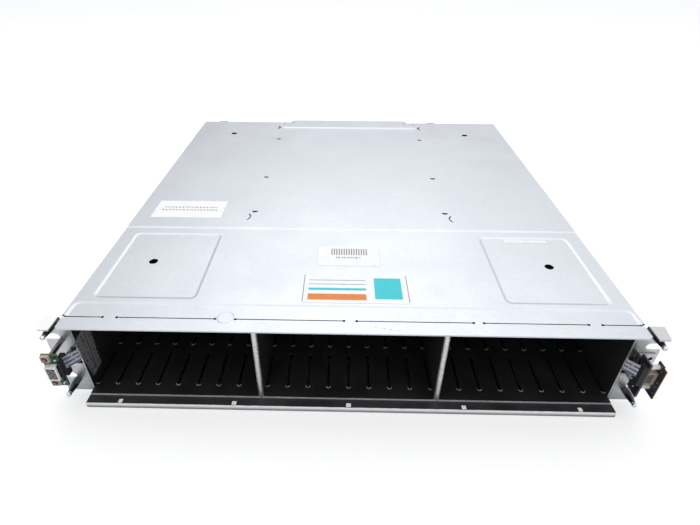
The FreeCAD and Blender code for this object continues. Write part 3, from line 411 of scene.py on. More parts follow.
def display_case():
    """White face and top; the right flank is black behind the front frame."""
    finish = Finish("display_case")
    low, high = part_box("digit_display")
    flank_depth = 0.0003
    frame_depth = 0.0018
    flank = finish.above(finish.axis("X"), high.x - flank_depth)
    behind = finish.above(finish.axis("Y"), low.y + frame_depth)
    white = finish.clouded((0.88, 0.87, 0.85), (0.97, 0.96, 0.94))
    finish.link(finish.mix(finish.times(flank, behind), white, mouth_black), "Base Color")
    finish.set(Roughness=0.35)
    finish.grain(*moulded_grain)
    return finish


def inlet_body(side):
    """Black moulding; the three prongs in its well are metal."""
    finish = Finish("inlet_" + side)
    low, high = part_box("power_inlet_" + side)
    prong_reach = 0.0039
    prong_bottom = 0.0062
    prong_top = 0.0268
    prong_tip = 0.0035
    well_depth = 0.0160
    across = finish.math("ABSOLUTE", finish.minus(finish.axis("X"), 0.5 * (low.x + high.x)))
    mask = finish.times(finish.below(across, prong_reach),
                        finish.below(finish.axis("Z"), low.z + prong_top),
                        finish.above(finish.axis("Z"), low.z + prong_bottom),
                        finish.above(finish.axis("Y"), high.y - well_depth),
                        finish.below(finish.axis("Y"), high.y - prong_tip))
    black = finish.clouded((0.013, 0.013, 0.014), (0.017, 0.017, 0.018))
    finish.link(finish.mix(mask, black, (0.66, 0.66, 0.67)), "Base Color")
    finish.link(mask, "Metallic")
    finish.link(finish.range(mask, 0.0, 1.0, 0.42, 0.28), "Roughness")
    finish.grain(*moulded_grain)
    return finish


def socket_shell(level):
    """Bright metal shell of the network sockets, dark inside their mouths."""
    finish = Finish("socket_shell_" + level)
    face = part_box("network_sockets_" + level)[1].y
    mouth_from = face - 0.0008
    mouth_to = face - 0.0005
    metal = finish.range(finish.axis("Y"), mouth_from, mouth_to)
    shell = sheet_colours(finish, (0.50, 0.50, 0.51), (0.70, 0.70, 0.71))
    finish.link(finish.mix(metal, mouth_black, shell), "Base Color")
    finish.link(metal, "Metallic")
    finish.set(Roughness=0.32)
    finish.grain(*shell_grain)
    return finish


def paper(name, colour):
    """Paper or print, faintly clouded."""
    finish = Finish(name)
    finish.link(finish.clouded(shaded(colour, 0.93), colour, 180.0, 5.0), "Base Color")
    finish.set(Roughness=0.45)
    finish.grain(*paper_grain)
    return finish


outer_low, outer_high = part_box("outer_board")
bare_from = outer_low.x + 0.55 * (outer_high.x - outer_low.x)
finishes = {
    "cover": cover_steel(),
    "pan": galvanised("pan_steel", (0.58, 0.61, 0.65), (0.70, 0.73, 0.77), 0.36),
    # The case steel carries painted shade in its narrow gaps
    "case": galvanised("case_steel", (0.50, 0.52, 0.55), (0.64, 0.66, 0.69), 0.38, nook_shade=True),
    "ear": ear_steel(),
    "coat": painted("black_coat"),
    "coat_divider": painted("black_coat_divider", front_edge("divider_left", reach=0.0023, blend=0.0003),
                            steel_light=0.98),
    "coat_tray": painted("black_coat_tray", front_edge("cage_floor", reach=0.0003, blend=0.0002), metal=0.3),
    # The sill's bare front face has a painted highlight along its top
    "coat_sill": painted("black_coat_sill", front_edge("front_sill", reach=0.0006, blend=0.0003),
                         steel_light=0.30, coat_light=0.052, metal=0.2, rim=(0.0005, 0.0044)),
    "coat_liner": painted("black_coat_liner", front_edge("side_liner_left", reach=0.0003, blend=0.0002)),
    "stud": stud_steel(),
    "screw": galvanised("screw_steel", (0.45, 0.45, 0.46), (0.66, 0.66, 0.67), 0.28),
    "standoff": galvanised("standoff_steel", (0.12, 0.12, 0.13), (0.24, 0.24, 0.25), 0.36),
    "green_board_y": board("green_board_y", (0.004, 0.046, 0.046), (0.014, 0.10, 0.085),
                           (0.085, 0.14, 0.035), "Y"),
    "green_board_z": board("green_board_z", (0.010, 0.085, 0.045), (0.03, 0.17, 0.08),
                           (0.36, 0.34, 0.12), "Z"),
    "inner_board": board("inner_board_mask", (0.014, 0.013, 0.015), (0.024, 0.024, 0.029),
                         (0.014, 0.013, 0.015), "X"),
    "outer_board": board("outer_board_mask", (0.007, 0.008, 0.015), (0.02, 0.024, 0.045),
                         (0.55, 0.33, 0.06), "X", bare_from),
    "black": plastic("black_plastic", (0.016, 0.016, 0.017), 0.42),
    "grey": plastic("grey_plastic", (0.085, 0.087, 0.095), 0.45),
    "white": plastic("white_plastic", (0.94, 0.94, 0.93), 0.3),
    "cream": plastic("cream_plastic", (0.62, 0.53, 0.40), 0.42),
    "beige": plastic("beige_plastic", (0.42, 0.36, 0.27), 0.45),
    "brown": plastic("brown_plastic", (0.27, 0.13, 0.105), 0.35),
    "ring": plastic("ring_plastic", (0.022, 0.009, 0.006), 0.4),
    "matte": plastic("matte_plastic", (0.008, 0.008, 0.008), 0.75, gloss=0.2),
    "header": plastic("header_plastic", (0.024, 0.024, 0.027), 0.7, gloss=0.3),
    "lip": plastic("lip_bare", (0.56, 0.54, 0.49), 0.4),
    "lever": plastic("lever_plastic", (0.42, 0.42, 0.44), 0.42),
    "link_slot": plastic("link_slot_plastic", (0.11, 0.098, 0.088), 0.5),
    "display": display_case(),
    # The second colour of each ribbon is its painted shadow near the header, deeper on the left
    "ribbon_left": ribbon_film("left", (0.40, 0.39, 0.42)),
    "ribbon_right": ribbon_film("right", (0.80, 0.79, 0.81)),
    "inlet_left": inlet_body("left"),
    "inlet_right": inlet_body("right"),
    "sockets_lower": socket_shell("lower"),
    "sockets_upper": socket_shell("upper"),
    "window": plastic("window_plastic", (0.022, 0.022, 0.028), 0.2),
    "segment": plastic("segment_plastic", (0.19, 0.19, 0.20), 0.35),
    "paper": paper("paper_white", (0.985, 0.985, 0.98)),
    "paper_dark": paper("paper_dark", (0.25, 0.245, 0.25)),
    "ink_grey": paper("ink_grey", (0.30, 0.30, 0.31)),
    "ink_black": paper("ink_black", (0.015, 0.015, 0.017)),
    "ink_cyan": paper("ink_cyan", (0.05, 0.62, 0.68)),
    "ink_orange": paper("ink_orange", (0.80, 0.25, 0.05)),
    "gold": galvanised("gold_plate", (0.62, 0.42, 0.14), (0.80, 0.58, 0.24), 0.3),
}

# The finish of every CAD node
node_finish = {
    "top_cover": "cover", "chassis_pan": "pan", "front_sill": "coat_sill", "cage_floor": "coat_tray",
    "cage_ceiling": "coat", "divider_left": "coat_divider", "divider_right": "coat_divider",
    "side_liner_left": "coat_liner", "side_liner_right": "coat_liner", "midplane_board": "green_board_y",
    "drive_connectors": "black", "midplane_screws": "screw", "module_sockets": "black",
    "bay_wall_left": "case", "bay_wall_right": "case", "controller_shelf": "case",
    "rack_ear_left": "ear", "rack_ear_right": "ear", "ball_studs": "stud",
    "display_board": "green_board_y", "display_standoffs": "standoff", "digit_display": "display",
    "switch_bodies": "cream", "push_button_upper": "brown", "push_button_lower": "brown",
    "ribbon_left": "ribbon_left", "ribbon_right": "ribbon_right", "ribbon_headers": "header",
    "notch_grommets": "black", "board_bracket": "ear", "inner_board": "inner_board",
    "outer_board": "outer_board", "board_spacers": "white", "link_connector": "beige",
}
for side in sides:
    node_finish["psu_case_" + side] = "case"
    node_finish["psu_board_" + side] = "green_board_z"
    node_finish["fan_frame_" + side] = "black"
    node_finish["fan_rotor_" + side] = "black"
    node_finish["fan_guard_" + side] = "screw"
    node_finish["power_inlet_" + side] = "inlet_" + side
    node_finish["rocker_switch_" + side] = "black"
    node_finish["psu_lever_" + side] = "lever"
for level in levels:
    node_finish["controller_case_" + level] = "case"
    node_finish["controller_board_" + level] = "green_board_z"
    node_finish["network_sockets_" + level] = "sockets_" + level
    for side in sides:
        node_finish["eject_lever_" + level + "_" + side] = "grey"
for name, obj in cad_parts.items():
    obj.data.materials.clear()
    obj.data.materials.append(finishes[node_finish[name]].material)


# Helpers for the scene's own pieces
def add_piece(name, mesh_builder, finish, body):
    """Make a mesh piece with its finish, riding on a body of the frame."""
    build = bmesh.new()
    mesh_builder(build)
    bmesh.ops.recalc_face_normals(build, faces=build.faces)
    mesh = bpy.data.meshes.new(name)
    build.to_mesh(mesh)
    build.free()
    obj = bpy.data.objects.new(name, mesh)
    scene.collection.objects.link(obj)
    mesh.materials.append(finishes[finish].material)
    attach(obj, body)


# Planes that a piece lies on: each maps (u, v, height above the plane) to the frame
def on_top(z):
    return lambda u, v, h: (u, v, z + h)


def on_front(y):
    return lambda u, v, h: (u, y - h, v)


def on_back(y):
    return lambda u, v, h: (u, y + h, v)


def on_left(x):
    return lambda u, v, h: (x - h, u, v)


def on_right(x):
    return lambda u, v, h: (x + h, u, v)


def rounded_outline(u0, u1, v0, v1, radius, steps=5):
    """Rectangle with round corners."""
    points = []
    corners = ((u1 - radius, v1 - radius, 0.0), (u0 + radius, v1 - radius, 90.0),
               (u0 + radius, v0 + radius, 180.0), (u1 - radius, v0 + radius, 270.0))
    for cu, cv, start in corners:
        for i in range(steps + 1):
            angle = math.radians(start + 90.0 * i / steps)
            points.append((cu + radius * math.cos(angle), cv + radius * math.sin(angle)))
    return points


def disc(u, v, radius, count=12):
    """Points of a circle."""
    turns = [2.0 * math.pi * i / count for i in range(count)]
    return [(u + radius * math.cos(turn), v + radius * math.sin(turn)) for turn in turns]


def spaced(count, pitch, middle=0.0):
    """Evenly spaced places about a middle."""
    return [middle + (i - 0.5 * (count - 1)) * pitch for i in range(count)]


def four_about(u, v, reach):
    """The corners of a square about a point."""
    return [(u + du, v + dv) for du in (-reach, reach) for dv in (-reach, reach)]


def loop_of(build, points, to_world, height):
    return [build.verts.new(to_world(u, v, height)) for u, v in points]


def bridge(build, loops):
    """Faces from each loop of vertices to the next one."""
    count = len(loops[0])
    for a, b in zip(loops, loops[1:]):
        for i in range(count):
            j = (i + 1) % count
            build.faces.new((a[i], a[j], b[j], b[i]))


def extrude_outline(build, points, to_world, thickness):
    """Closed plate from an outline in its own plane."""
    low = loop_of(build, points, to_world, 0.0)
    high = loop_of(build, points, to_world, thickness)
    build.faces.new(low[::-1])
    build.faces.new(high)
    bridge(build, [low, high])


def rim_between(build, outer, inner, to_world, thickness):
    """Closed flat rim between two outlines with as many points each."""
    loops = []
    for points, height in ((outer, 0.0), (outer, thickness), (inner, thickness), (inner, 0.0)):
        loops.append(loop_of(build, points, to_world, height))
    bridge(build, loops + loops[:1])


def flat_plate(u0, u1, v0, v1, radius, to_world, thickness):
    """Builder of a plate with round corners."""
    def builder(build):
        extrude_outline(build, rounded_outline(u0, u1, v0, v1, radius), to_world, thickness)
    return builder


def pan_head(build, u, v, to_world, radius, rise, recess):
    """Low domed screw head with a cross recess of a given half length."""
    rim_points = 16
    rings = []
    for share, height in ((1.0, 0.0), (1.0, 0.35 * rise), (0.8, 0.85 * rise), (0.5, rise)):
        rings.append(loop_of(build, disc(u, v, share * radius, rim_points), to_world, height))
    bridge(build, rings)
    build.faces.new(rings[0][::-1])
    build.faces.new(rings[-1])
    bar = rounded_outline(-recess, recess, -0.2 * recess, 0.2 * recess, 0.1 * recess, 2)
    for arm in (bar, [(across, along) for along, across in bar]):
        points = [(u + du, v + dv) for du, dv in arm]
        extrude_outline(build, points, lambda a, b, h: to_world(a, b, rise + h), ink_thickness)


# Labels on the cover: blank paper with plain printed blocks, each box as x from, x to, y from, y to
label_thickness = 0.00012
label_corner = 0.0012
ink_thickness = 0.00003
ink_corner = 0.0002
rear_label_box = (-0.2062, -0.1326, 0.1521, 0.1881)
bar_label_box = (-0.0295, 0.0270, 0.0725, 0.1035)
colour_label_box = (-0.0389, 0.0479, 0.0222, 0.0605)
pad_label_box = (0.1480, 0.1880, 0.1145, 0.1195)

# Print on the labels, in fractions of a label's width and depth
stroke_range = (0.4, 1.4)
inked_share = 0.55
stripe_count = 15
stripe_pitch = 0.04
stripe_from = 0.22
stripe_to = 0.24


def cover_label(name, box, z, blocks):
    """Paper, and one piece for the blocks of each ink, placed by fractions of the label's width and depth."""
    x0, x1, y0, y1 = box
    width = x1 - x0
    depth = y1 - y0
    sheet = flat_plate(x0, x1, y0, y1, label_corner, on_top(z), label_thickness)
    add_piece(name, sheet, "paper", "chassis")
    for ink in sorted({block[0] for block in blocks}):
        def print_blocks(build):
            for finish, a0, a1, b0, b1 in blocks:
                if finish == ink:
                    outline = rounded_outline(x0 + a0 * width, x0 + a1 * width,
                                              y0 + b0 * depth, y0 + b1 * depth, ink_corner)
                    extrude_outline(build, outline, on_top(z + label_thickness), ink_thickness)
        add_piece(name + "_" + ink, print_blocks, ink, "chassis")


def dashes(low, high, level, thickness, count):
    """A row of broken strokes of random length along a label, as fractions of its width and depth."""
    strokes = []
    place = low
    while place < high:
        stroke = random.uniform(*stroke_range) * (high - low) / count
        strokes.append(("ink_grey", place, min(place + inked_share * stroke, high), level, level + thickness))
        place += stroke
    return strokes


random.seed(4)
cover_label("rear_label", rear_label_box, cover_top,
            dashes(0.12, 0.88, level=0.58, thickness=0.06, count=19)
            + dashes(0.10, 0.90, level=0.42, thickness=0.06, count=21))
stripes = [("ink_grey", stripe_from + stripe_pitch * i, stripe_to + stripe_pitch * i, 0.55, 0.88)
           for i in range(stripe_count)]
cover_label("bar_label", bar_label_box, level_1,
            stripes + dashes(0.30, 0.70, level=0.38, thickness=0.07, count=9))
cover_label("colour_label", colour_label_box, level_1, [
    ("ink_grey", 0.0, 0.007, 0.04, 0.96), ("ink_grey", 0.993, 1.0, 0.04, 0.96),
    ("ink_orange", 0.05, 0.60, 0.10, 0.30), ("ink_cyan", 0.68, 0.94, 0.14, 0.86),
    ("ink_cyan", 0.05, 0.60, 0.42, 0.50), ("ink_grey", 0.05, 0.60, 0.62, 0.64),
    ("ink_grey", 0.05, 0.60, 0.76, 0.78)])
cover_label("pad_label", pad_label_box, level_2, dashes(0.08, 0.92, level=0.40, thickness=0.12, count=12))

# Small scuffs on the front strip: x, y, length, width
scuff_places = ((0.0178, -0.0037, 0.0022, 0.0005), (0.0236, -0.0049, 0.0030, 0.0004),
                (0.0291, -0.0060, 0.0018, 0.0006), (0.0345, -0.0072, 0.0026, 0.0004))


def scuffs(build):
    for x, y, length, width in scuff_places:
        outline = [(x, y), (x + 0.4 * length, y - 0.5 * width), (x + length, y - 0.2 * width),
                   (x + 0.7 * length, y + 0.5 * width)]
        extrude_outline(build, outline, on_top(level_2), ink_thickness)


add_piece("strip_scuffs", scuffs, "ink_grey", "chassis")

# Painted shade of the torn slits round the corners of the raised rear part of the cover, as thin black marks:
# a chevron, and nicks as x, y, length
slit_chevron = ((0.1062, 0.4305), (0.1026, 0.4262), (0.1021, 0.4235), (0.1056, 0.4165),
                (0.1068, 0.4172), (0.1043, 0.4238), (0.1046, 0.4256), (0.1074, 0.4298))
slit_nicks = ((0.1000, 0.4372, 0.0034), (0.0985, 0.4418, 0.0026))
nick_outer = 0.0006
nick_tip = 0.0012
nick_inner = 0.0020


def corner_slit_shade(build):
    outlines = [slit_chevron]
    for x, y, length in slit_nicks:
        outlines.append([(x, y), (x + nick_outer, y + 0.2 * length), (x - nick_tip, y + length),
                         (x - nick_inner, y + 0.8 * length)])
    for mirror in (-1.0, 1.0):
        for outline in outlines:
            extrude_outline(build, [(mirror * x, y) for x, y in outline], on_top(cover_top), ink_thickness)


# Black marks as painted shade in the slits
add_piece("corner_slit_shade", corner_slit_shade, "ink_black", "chassis")

# Window of the display and the seven-segment figure in it
display_low, display_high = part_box("digit_display")
figure_x = 0.5 * (display_low.x + display_high.x)
figure_z = 0.5 * (display_low.z + display_high.z)
window_depth = 0.0004
window_plane = on_front(display_low.y + window_depth)
window_thickness = 0.0002
window_inset_x = 0.0009
window_inset_z = 0.0011
window_corner = 0.0003
bar_long = 0.0038
bar_wide = 0.0021
bar_tip = 0.0004
bar_rise = 0.00015


def segment(across, up, upright):
    """One wide bar with pointed ends, lying across or standing up."""
    reach = 0.5 * bar_long + bar_tip
    wide = 0.5 * bar_wide
    shape = [(-reach, 0.0), (-reach + wide, -wide), (reach - wide, -wide), (reach, 0.0), (reach - wide, wide),
             (-reach + wide, wide)]
    if upright:
        shape = [(-v, u) for u, v in shape]
    return [(figure_x + across + u, figure_z + up + v) for u, v in shape]


def figure_bars(build):
    bars_of_figure = [segment(0.0, up, False) for up in (-bar_long, 0.0, bar_long)]
    bars_of_figure += [segment(across, up, True) for across, up in four_about(0.0, 0.0, 0.5 * bar_long)]
    for outline in bars_of_figure:
        extrude_outline(build, outline, window_plane, window_thickness + bar_rise)


window = flat_plate(display_low.x + window_inset_x, display_high.x - window_inset_x,
                    display_low.z + window_inset_z, display_high.z - window_inset_z,
                    window_corner, window_plane, window_thickness)
add_piece("display_window", window, "window", "chassis")
add_piece("display_figure", figure_bars, "segment", "chassis")

# Plain dark two-column label on the inner left wall, in depth and height; rows of marks as place and spread
liner_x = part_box("side_liner_left")[1].x
label_columns = (((0.0057, 0.062), (-0.0014, 0.060), (0.0045, 0.0155), (0.0115, 0.0155), (0.0125, 0.062)),
                 ((0.0135, 0.062), (0.0125, 0.0155), (0.0195, 0.016), (0.0217, 0.062)))
mark_rows = ((0.0010, 0.0016), (0.0060, 0.0016), (0.0150, 0.0015), (0.0186, 0.0015))
marks_bottom = 0.019
marks_top = 0.057
first_column_end = 0.010
first_column_lean = 0.0035
lean_top = 0.060
lean_height = 0.044
mark_length = (0.0008, 0.0034)
mark_shift = (0.0, 0.0008)
mark_share = (0.4, 1.0)
mark_gap = (0.0006, 0.0030)


def wall_marks(build):
    """Broken dark strokes down the label, without any letter shapes."""
    for row, spread in mark_rows:
        shift = first_column_lean if row < first_column_end else 0.0
        height = marks_bottom
        while height < marks_top:
            length = random.uniform(*mark_length)
            lean = shift * (lean_top - height) / lean_height
            start = row + lean + random.uniform(*mark_shift)
            end = start + random.uniform(*mark_share) * spread
            outline = rounded_outline(start, end, height, height + length, ink_corner, 2)
            extrude_outline(build, outline, on_right(liner_x + label_thickness), ink_thickness)
            height += length + random.uniform(*mark_gap)


for i, outline in enumerate(label_columns):
    def column(build):
        extrude_outline(build, outline, on_right(liner_x), label_thickness)
    add_piece("wall_label_%d" % i, column, "paper_dark", "chassis")
add_piece("wall_label_marks", wall_marks, "ink_black", "chassis")

# Rings round the push buttons, and the pins of their switches
switch_plane = on_front(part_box("switch_bodies")[0].y)
ring_points = 24
ring_inner = 0.00178
ring_outer = 0.0025
ring_height = 0.00025
pin_reach = 0.0024
pin_radius = 0.0004
pin_height = 0.0001


def switch_trim(level):
    low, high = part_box("push_button_" + level)
    x = 0.5 * (low.x + high.x)
    z = 0.5 * (low.z + high.z)

    def button_ring(build):
        rim_between(build, disc(x, z, ring_outer, ring_points), disc(x, z, ring_inner, ring_points),
                    switch_plane, ring_height)

    def switch_pins(build):
        for pin_x, pin_z in four_about(x, z, pin_reach):
            extrude_outline(build, disc(pin_x, pin_z, pin_radius), switch_plane, pin_height)

    add_piece("switch_ring_" + level, button_ring, "ring", "chassis")
    add_piece("switch_pins_" + level, switch_pins, "standoff", "chassis")


switch_trim("upper")
switch_trim("lower")

# Small rounded parts on the boards, as two places on the board, width, depth and height
panel_low, panel_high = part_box("display_board")
panel_plane = on_front(panel_low.y)
inner_plane = on_left(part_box("inner_board")[0].x)
outer_plane = on_left(outer_low.x)


def chips(name, places, to_world, finish):
    def builder(build):
        for u, v, width, depth, height in places:
            outline = rounded_outline(u - 0.5 * width, u + 0.5 * width, v - 0.5 * depth, v + 0.5 * depth,
                                      0.3 * min(width, depth), 3)
            extrude_outline(build, outline, to_world, height)
    add_piece(name, builder, finish, "chassis")


chips("panel_chips", [(-0.2251, 0.0595, 0.0016, 0.0009, 0.0005), (-0.2248, 0.0352, 0.0014, 0.0008, 0.0005),
                      (-0.2261, 0.0336, 0.0008, 0.0014, 0.0005)], panel_plane, "white")
chips("panel_chips_dark", [(-0.2245, 0.0625, 0.0018, 0.0012, 0.0006),
                           (-0.2243, 0.0382, 0.0016, 0.0020, 0.0006)], panel_plane, "matte")
chips("inner_chips", [(-0.0110, 0.0571, 0.0009, 0.0016, 0.0005), (-0.0070, 0.0378, 0.0011, 0.0013, 0.0005),
                      (-0.0115, 0.0337, 0.0010, 0.0010, 0.0004)], inner_plane, "white")
chips("outer_chips", [(-0.0143, 0.0584, 0.0009, 0.0009, 0.0004), (-0.0159, 0.0552, 0.0008, 0.0010, 0.0004),
                      (-0.0172, 0.0444, 0.0008, 0.0018, 0.0004), (-0.0171, 0.0395, 0.0009, 0.0009, 0.0004),
                      (-0.0178, 0.0334, 0.0010, 0.0014, 0.0004)], outer_plane, "segment")

# Latch of the left ribbon header round the edge of the display board
latch_inner_x = -0.2241
latch_corner_x = panel_high.x - 0.0002
latch_outer_x = panel_high.x + 0.0005
latch_front_y = panel_low.y - 0.0014
latch_corner_y = panel_low.y - 0.0008
latch_bottom = 0.0410
latch_height = 0.0170


def latch(build):
    outline = [(latch_inner_x, latch_front_y), (latch_corner_x, latch_front_y),
               (latch_outer_x, latch_corner_y), (latch_outer_x, panel_high.y), (panel_high.x, panel_high.y),
               (panel_high.x, panel_low.y), (latch_inner_x, panel_low.y)]
    extrude_outline(build, outline, on_top(latch_bottom), latch_height)


add_piece("header_latch", latch, "header", "chassis")

# Light rim and dark mouth of the connector between the right ear's boards
link_low, link_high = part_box("link_connector")
link_plane = on_front(link_low.y)
link_corner = 0.0004
link_rim = 0.0011
link_rim_corner = 0.0003
link_rim_height = 0.0003
mouth_inset_x = 0.0024
mouth_inset_z = 0.0018
mouth_thickness = 0.0001


def link_frame(build):
    outer = rounded_outline(link_low.x, link_high.x, link_low.z, link_high.z, link_corner, 3)
    inner = rounded_outline(link_low.x + link_rim, link_high.x - link_rim,
                            link_low.z + link_rim, link_high.z - link_rim, link_rim_corner, 3)
    rim_between(build, outer, inner, link_plane, link_rim_height)


mouth = flat_plate(link_low.x + mouth_inset_x, link_high.x - mouth_inset_x,
                   link_low.z + mouth_inset_z, link_high.z - mouth_inset_z,
                   link_corner, link_plane, mouth_thickness)
add_piece("link_frame", link_frame, "beige", "chassis")
add_piece("link_mouth", mouth, "link_slot", "chassis")

# Screw heads: radius, rise, half length of the recess
guard_screw = (0.0027, 0.0012, 0.0016)
spacer_screw = (0.0019, 0.0009, 0.0011)

# Rear of the power modules: screws of the fan guards and grip ribs of the levers
guard_screw_reach = 0.0218
grip_depth = 0.0021
rib_count = 5
rib_from_top = 0.0120
rib_pitch = 0.0028
rib_inset = 0.0036
rib_half = 0.0005
rib_corner = 0.0004
rib_height = 0.0003


def power_module_trim(side):
    guard_low, guard_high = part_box("fan_guard_" + side)
    grip_low, grip_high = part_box("psu_lever_" + side)
    guard_x = 0.5 * (guard_low.x + guard_high.x)
    guard_z = 0.5 * (guard_low.z + guard_high.z)
    grip_plane = on_back(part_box("psu_case_" + side)[1].y - grip_depth)

    def guard_screws(build):
        for x, z in four_about(guard_x, guard_z, guard_screw_reach):
            pan_head(build, x, z, on_back(guard_low.y), *guard_screw)

    def lever_ribs(build):
        for i in range(rib_count):
            z = grip_high.z - rib_from_top - rib_pitch * i
            outline = rounded_outline(grip_low.x + rib_inset, grip_high.x - rib_inset,
                                      z - rib_half, z + rib_half, rib_corner, 2)
            extrude_outline(build, outline, grip_plane, rib_height)

    add_piece("guard_screws_" + side, guard_screws, "screw", "psu_" + side)
    add_piece("lever_ribs_" + side, lever_ribs, "lever", "psu_handle_" + side)


for side in sides:
    power_module_trim(side)

# Contacts in the network sockets
port_count = 4
port_pitch = 0.024
contact_count = 8
contact_pitch = 0.00102
contact_half = 0.0002
contact_back = 0.0122
contact_front = 0.0022
contact_level = 0.0026
contact_thickness = 0.0004


def socket_contacts(level):
    low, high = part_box("network_sockets_" + level)
    back = high.y - contact_back
    front = high.y - contact_front

    def contacts(build):
        for middle in spaced(port_count, port_pitch):
            for x in spaced(contact_count, contact_pitch, middle):
                outline = [(x - contact_half, back), (x + contact_half, back),
                           (x + contact_half, front), (x - contact_half, front)]
                extrude_outline(build, outline, on_top(low.z + contact_level), contact_thickness)

    add_piece("socket_contacts_" + level, contacts, "gold", "controller_" + level)


for level in levels:
    socket_contacts(level)

# Outer face of the right ear's boards: screws into the spacers and solder points of the connector
spacer_low, spacer_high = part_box("board_spacers")
spacer_half = 0.0019
solder_count = 8
solder_pitch = 0.00127
solder_radius = 0.0004
solder_height = 0.0003
solder_inset = 0.0012


def spacer_screws(build):
    y = 0.5 * (spacer_low.y + spacer_high.y)
    for z in (spacer_low.z + spacer_half, spacer_high.z - spacer_half):
        pan_head(build, y, z, on_right(outer_high.x), *spacer_screw)


def solder_points(build):
    middle = 0.5 * (link_low.z + link_high.z)
    for y in (link_low.y + solder_inset, link_high.y - solder_inset):
        for z in spaced(solder_count, solder_pitch, middle):
            extrude_outline(build, disc(y, z, solder_radius), on_right(outer_high.x), solder_height)


add_piece("spacer_screws", spacer_screws, "screw", "chassis")
add_piece("solder_points", solder_points, "screw", "chassis")

# Bare half-round lips at the front ends of the guide slots
tray_z = 0.0065
bay_count = 3
bay_pitch = 0.147067
slot_count = 9
slot_pitch = 0.017508
slot_ends = (0.0052, 0.053)
lip_radius = 0.0020
lip_width = 0.00065
lip_height = 0.00025
lip_steps = 8


def half_ring(x, y):
    """Outline of a half ring that is open towards the rear."""
    outline = []
    outer_steps = range(lip_steps + 1)
    for radius, steps in ((lip_radius, outer_steps), (lip_radius - lip_width, reversed(outer_steps))):
        for k in steps:
            angle = math.pi + math.pi * k / lip_steps
            outline.append((x + radius * math.cos(angle), y + radius * math.sin(angle)))
    return outline


def slot_lips(build):
    for bay_x in spaced(bay_count, bay_pitch):
        for x in spaced(slot_count, slot_pitch, bay_x):
            for y in slot_ends:
                extrude_outline(build, half_ring(x, y), on_top(tray_z), lip_height)


add_piece("slot_lips", slot_lips, "lip", "chassis")

# Floor
floor_half = 6.0
floor_drop = 0.0002
floor_rough = 0.7
floor_glow = 1.35
floor_glow_share = 0.4
floor_corners = [(-floor_half, -floor_half, 0.0), (floor_half, -floor_half, 0.0),
                 (floor_half, floor_half, 0.0), (-floor_half, floor_half, 0.0)]


def floor_finish():
    """Pale floor: white to the camera, with the shadow of the object kept."""
    material = bpy.data.materials.new("floor_white")
    material.use_nodes = True
    tree = material.node_tree
    shader = tree.nodes["Principled BSDF"]
    shader.inputs["Base Color"].default_value = (0.98, 0.98, 0.98, 1.0)
    shader.inputs["Roughness"].default_value = floor_rough
    white = tree.nodes.new("ShaderNodeEmission")
    white.inputs["Strength"].default_value = floor_glow
    path = tree.nodes.new("ShaderNodeLightPath")
    share = tree.nodes.new("ShaderNodeMath")
    share.operation = "MULTIPLY"
    share.inputs[1].default_value = floor_glow_share
    mix = tree.nodes.new("ShaderNodeMixShader")
    tree.links.new(path.outputs["Is Camera Ray"], share.inputs[0])
    tree.links.new(share.outputs["Value"], mix.inputs["Fac"])
    tree.links.new(shader.outputs["BSDF"], mix.inputs[1])
    tree.links.new(white.outputs["Emission"], mix.inputs[2])
    tree.links.new(mix.outputs["Shader"], tree.nodes["Material Output"].inputs["Surface"])
    return material


floor_mesh = bpy.data.meshes.new("floor")
floor_mesh.from_pydata(floor_corners, [], [(0, 1, 2, 3)])
floor_mesh.materials.append(floor_finish())
floor = bpy.data.objects.new("floor", floor_mesh)
floor.location.z = -floor_drop
scene.collection.objects.link(floor)

# Light of the world, and brightness of the room that metal mirrors: straight lines as slope and start
ambient_strength = 0.68
room_by_height = (3.7, -0.43)
room_lean = 0.2
side_by_height = -10.8
side_by_square = (4.0, 2.2)
square_most = 0.3
limit_by_depth = (0.5, 1.5)
limit_least = 1.2
limit_by_height = (-2.2, 3.25)
limit_most = 1.75
room_least = 0.4


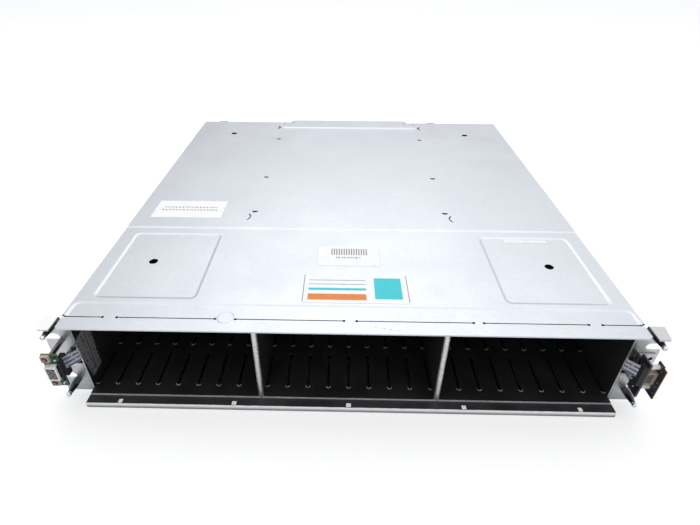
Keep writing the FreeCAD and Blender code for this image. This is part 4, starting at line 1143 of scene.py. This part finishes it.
def make_world():
    """Even soft light. The camera sees white, and metal a white room, brightest high up behind the object."""
    world = bpy.data.worlds.new("studio")
    scene.world = world
    world.use_nodes = True
    tree = world.node_tree

    def number(operation, *values):
        node = tree.nodes.new("ShaderNodeMath")
        node.operation = operation
        for socket, value in zip(node.inputs, values):
            if isinstance(value, float):
                socket.default_value = value
            else:
                tree.links.new(value, socket)
        return node.outputs["Value"]

    def line(value, slope, start):
        return number("MULTIPLY_ADD", value, slope, start)

    def background(colour):
        node = tree.nodes.new("ShaderNodeBackground")
        node.inputs["Color"].default_value = colour
        return node

    def blended(factor, first, second):
        mix = tree.nodes.new("ShaderNodeMixShader")
        tree.links.new(factor, mix.inputs["Fac"])
        tree.links.new(first.outputs[0], mix.inputs[1])
        tree.links.new(second.outputs[0], mix.inputs[2])
        return mix

    ambient = tree.nodes["Background"]
    ambient.inputs["Color"].default_value = (0.95, 0.97, 1.0, 1.0)
    ambient.inputs["Strength"].default_value = ambient_strength
    white = background((1.0, 1.0, 1.0, 1.0))
    room = background((1.0, 1.0, 1.0, 1.0))
    direction = tree.nodes.new("ShaderNodeSeparateXYZ")
    tree.links.new(tree.nodes.new("ShaderNodeTexCoord").outputs["Generated"], direction.inputs["Vector"])
    across, depth, up = (direction.outputs[axis] for axis in "XYZ")
    square = number("MINIMUM", number("MULTIPLY", across, across), square_most)
    lean = line(across, room_lean, line(up, *room_by_height))
    side_light = line(up, side_by_height, line(square, *side_by_square))
    glow = line(square, side_light, lean)
    behind = number("MAXIMUM", line(depth, *limit_by_depth), limit_least)
    limit = number("MINIMUM", number("MINIMUM", behind, line(up, *limit_by_height)), limit_most)
    strength = number("MAXIMUM", number("MINIMUM", glow, limit), room_least)
    tree.links.new(strength, room.inputs["Strength"])
    path = tree.nodes.new("ShaderNodeLightPath")
    mirrored = number("MAXIMUM", path.outputs["Is Glossy Ray"], path.outputs["Is Transmission Ray"])
    surround = blended(path.outputs["Is Camera Ray"], blended(mirrored, ambient, room), white)
    tree.links.new(surround.outputs["Shader"], tree.nodes["World Output"].inputs["Surface"])


make_world()


# Lamps
def softbox(name, place, target, width, depth, power):
    data = bpy.data.lights.new(name, "AREA")
    data.shape = "RECTANGLE"
    data.size = width
    data.size_y = depth
    data.energy = power
    lamp = bpy.data.objects.new(name, data)
    lamp.location = place
    lamp.rotation_euler = (Vector(target) - Vector(place)).to_track_quat("-Z", "Y").to_euler()
    lamp.visible_glossy = False
    scene.collection.objects.link(lamp)


softbox("back_softbox", place=(0.05, 1.5, 1.25), target=(0.0, 0.05, 0.08), width=0.9, depth=0.5, power=2.3)
softbox("top_softbox", place=(0.0, 0.45, 2.0), target=(0.0, 0.40, 0.05), width=1.6, depth=1.6, power=14.5)

# Camera at the photograph's viewing angle
camera_data = bpy.data.cameras.new("camera")
camera_data.sensor_width = 36.0
camera_data.lens = 24.184
camera_data.shift_x = 0.0213
camera_data.shift_y = -0.0233
camera_data.clip_start = 0.01
camera = bpy.data.objects.new("camera", camera_data)
camera.location = (-0.006305, -0.264592, 0.331566)
camera.rotation_euler = [math.radians(angle) for angle in (56.2986, -0.1049, 1.2445)]
scene.collection.objects.link(camera)
scene.camera = camera
scene.view_settings.view_transform = "Standard"
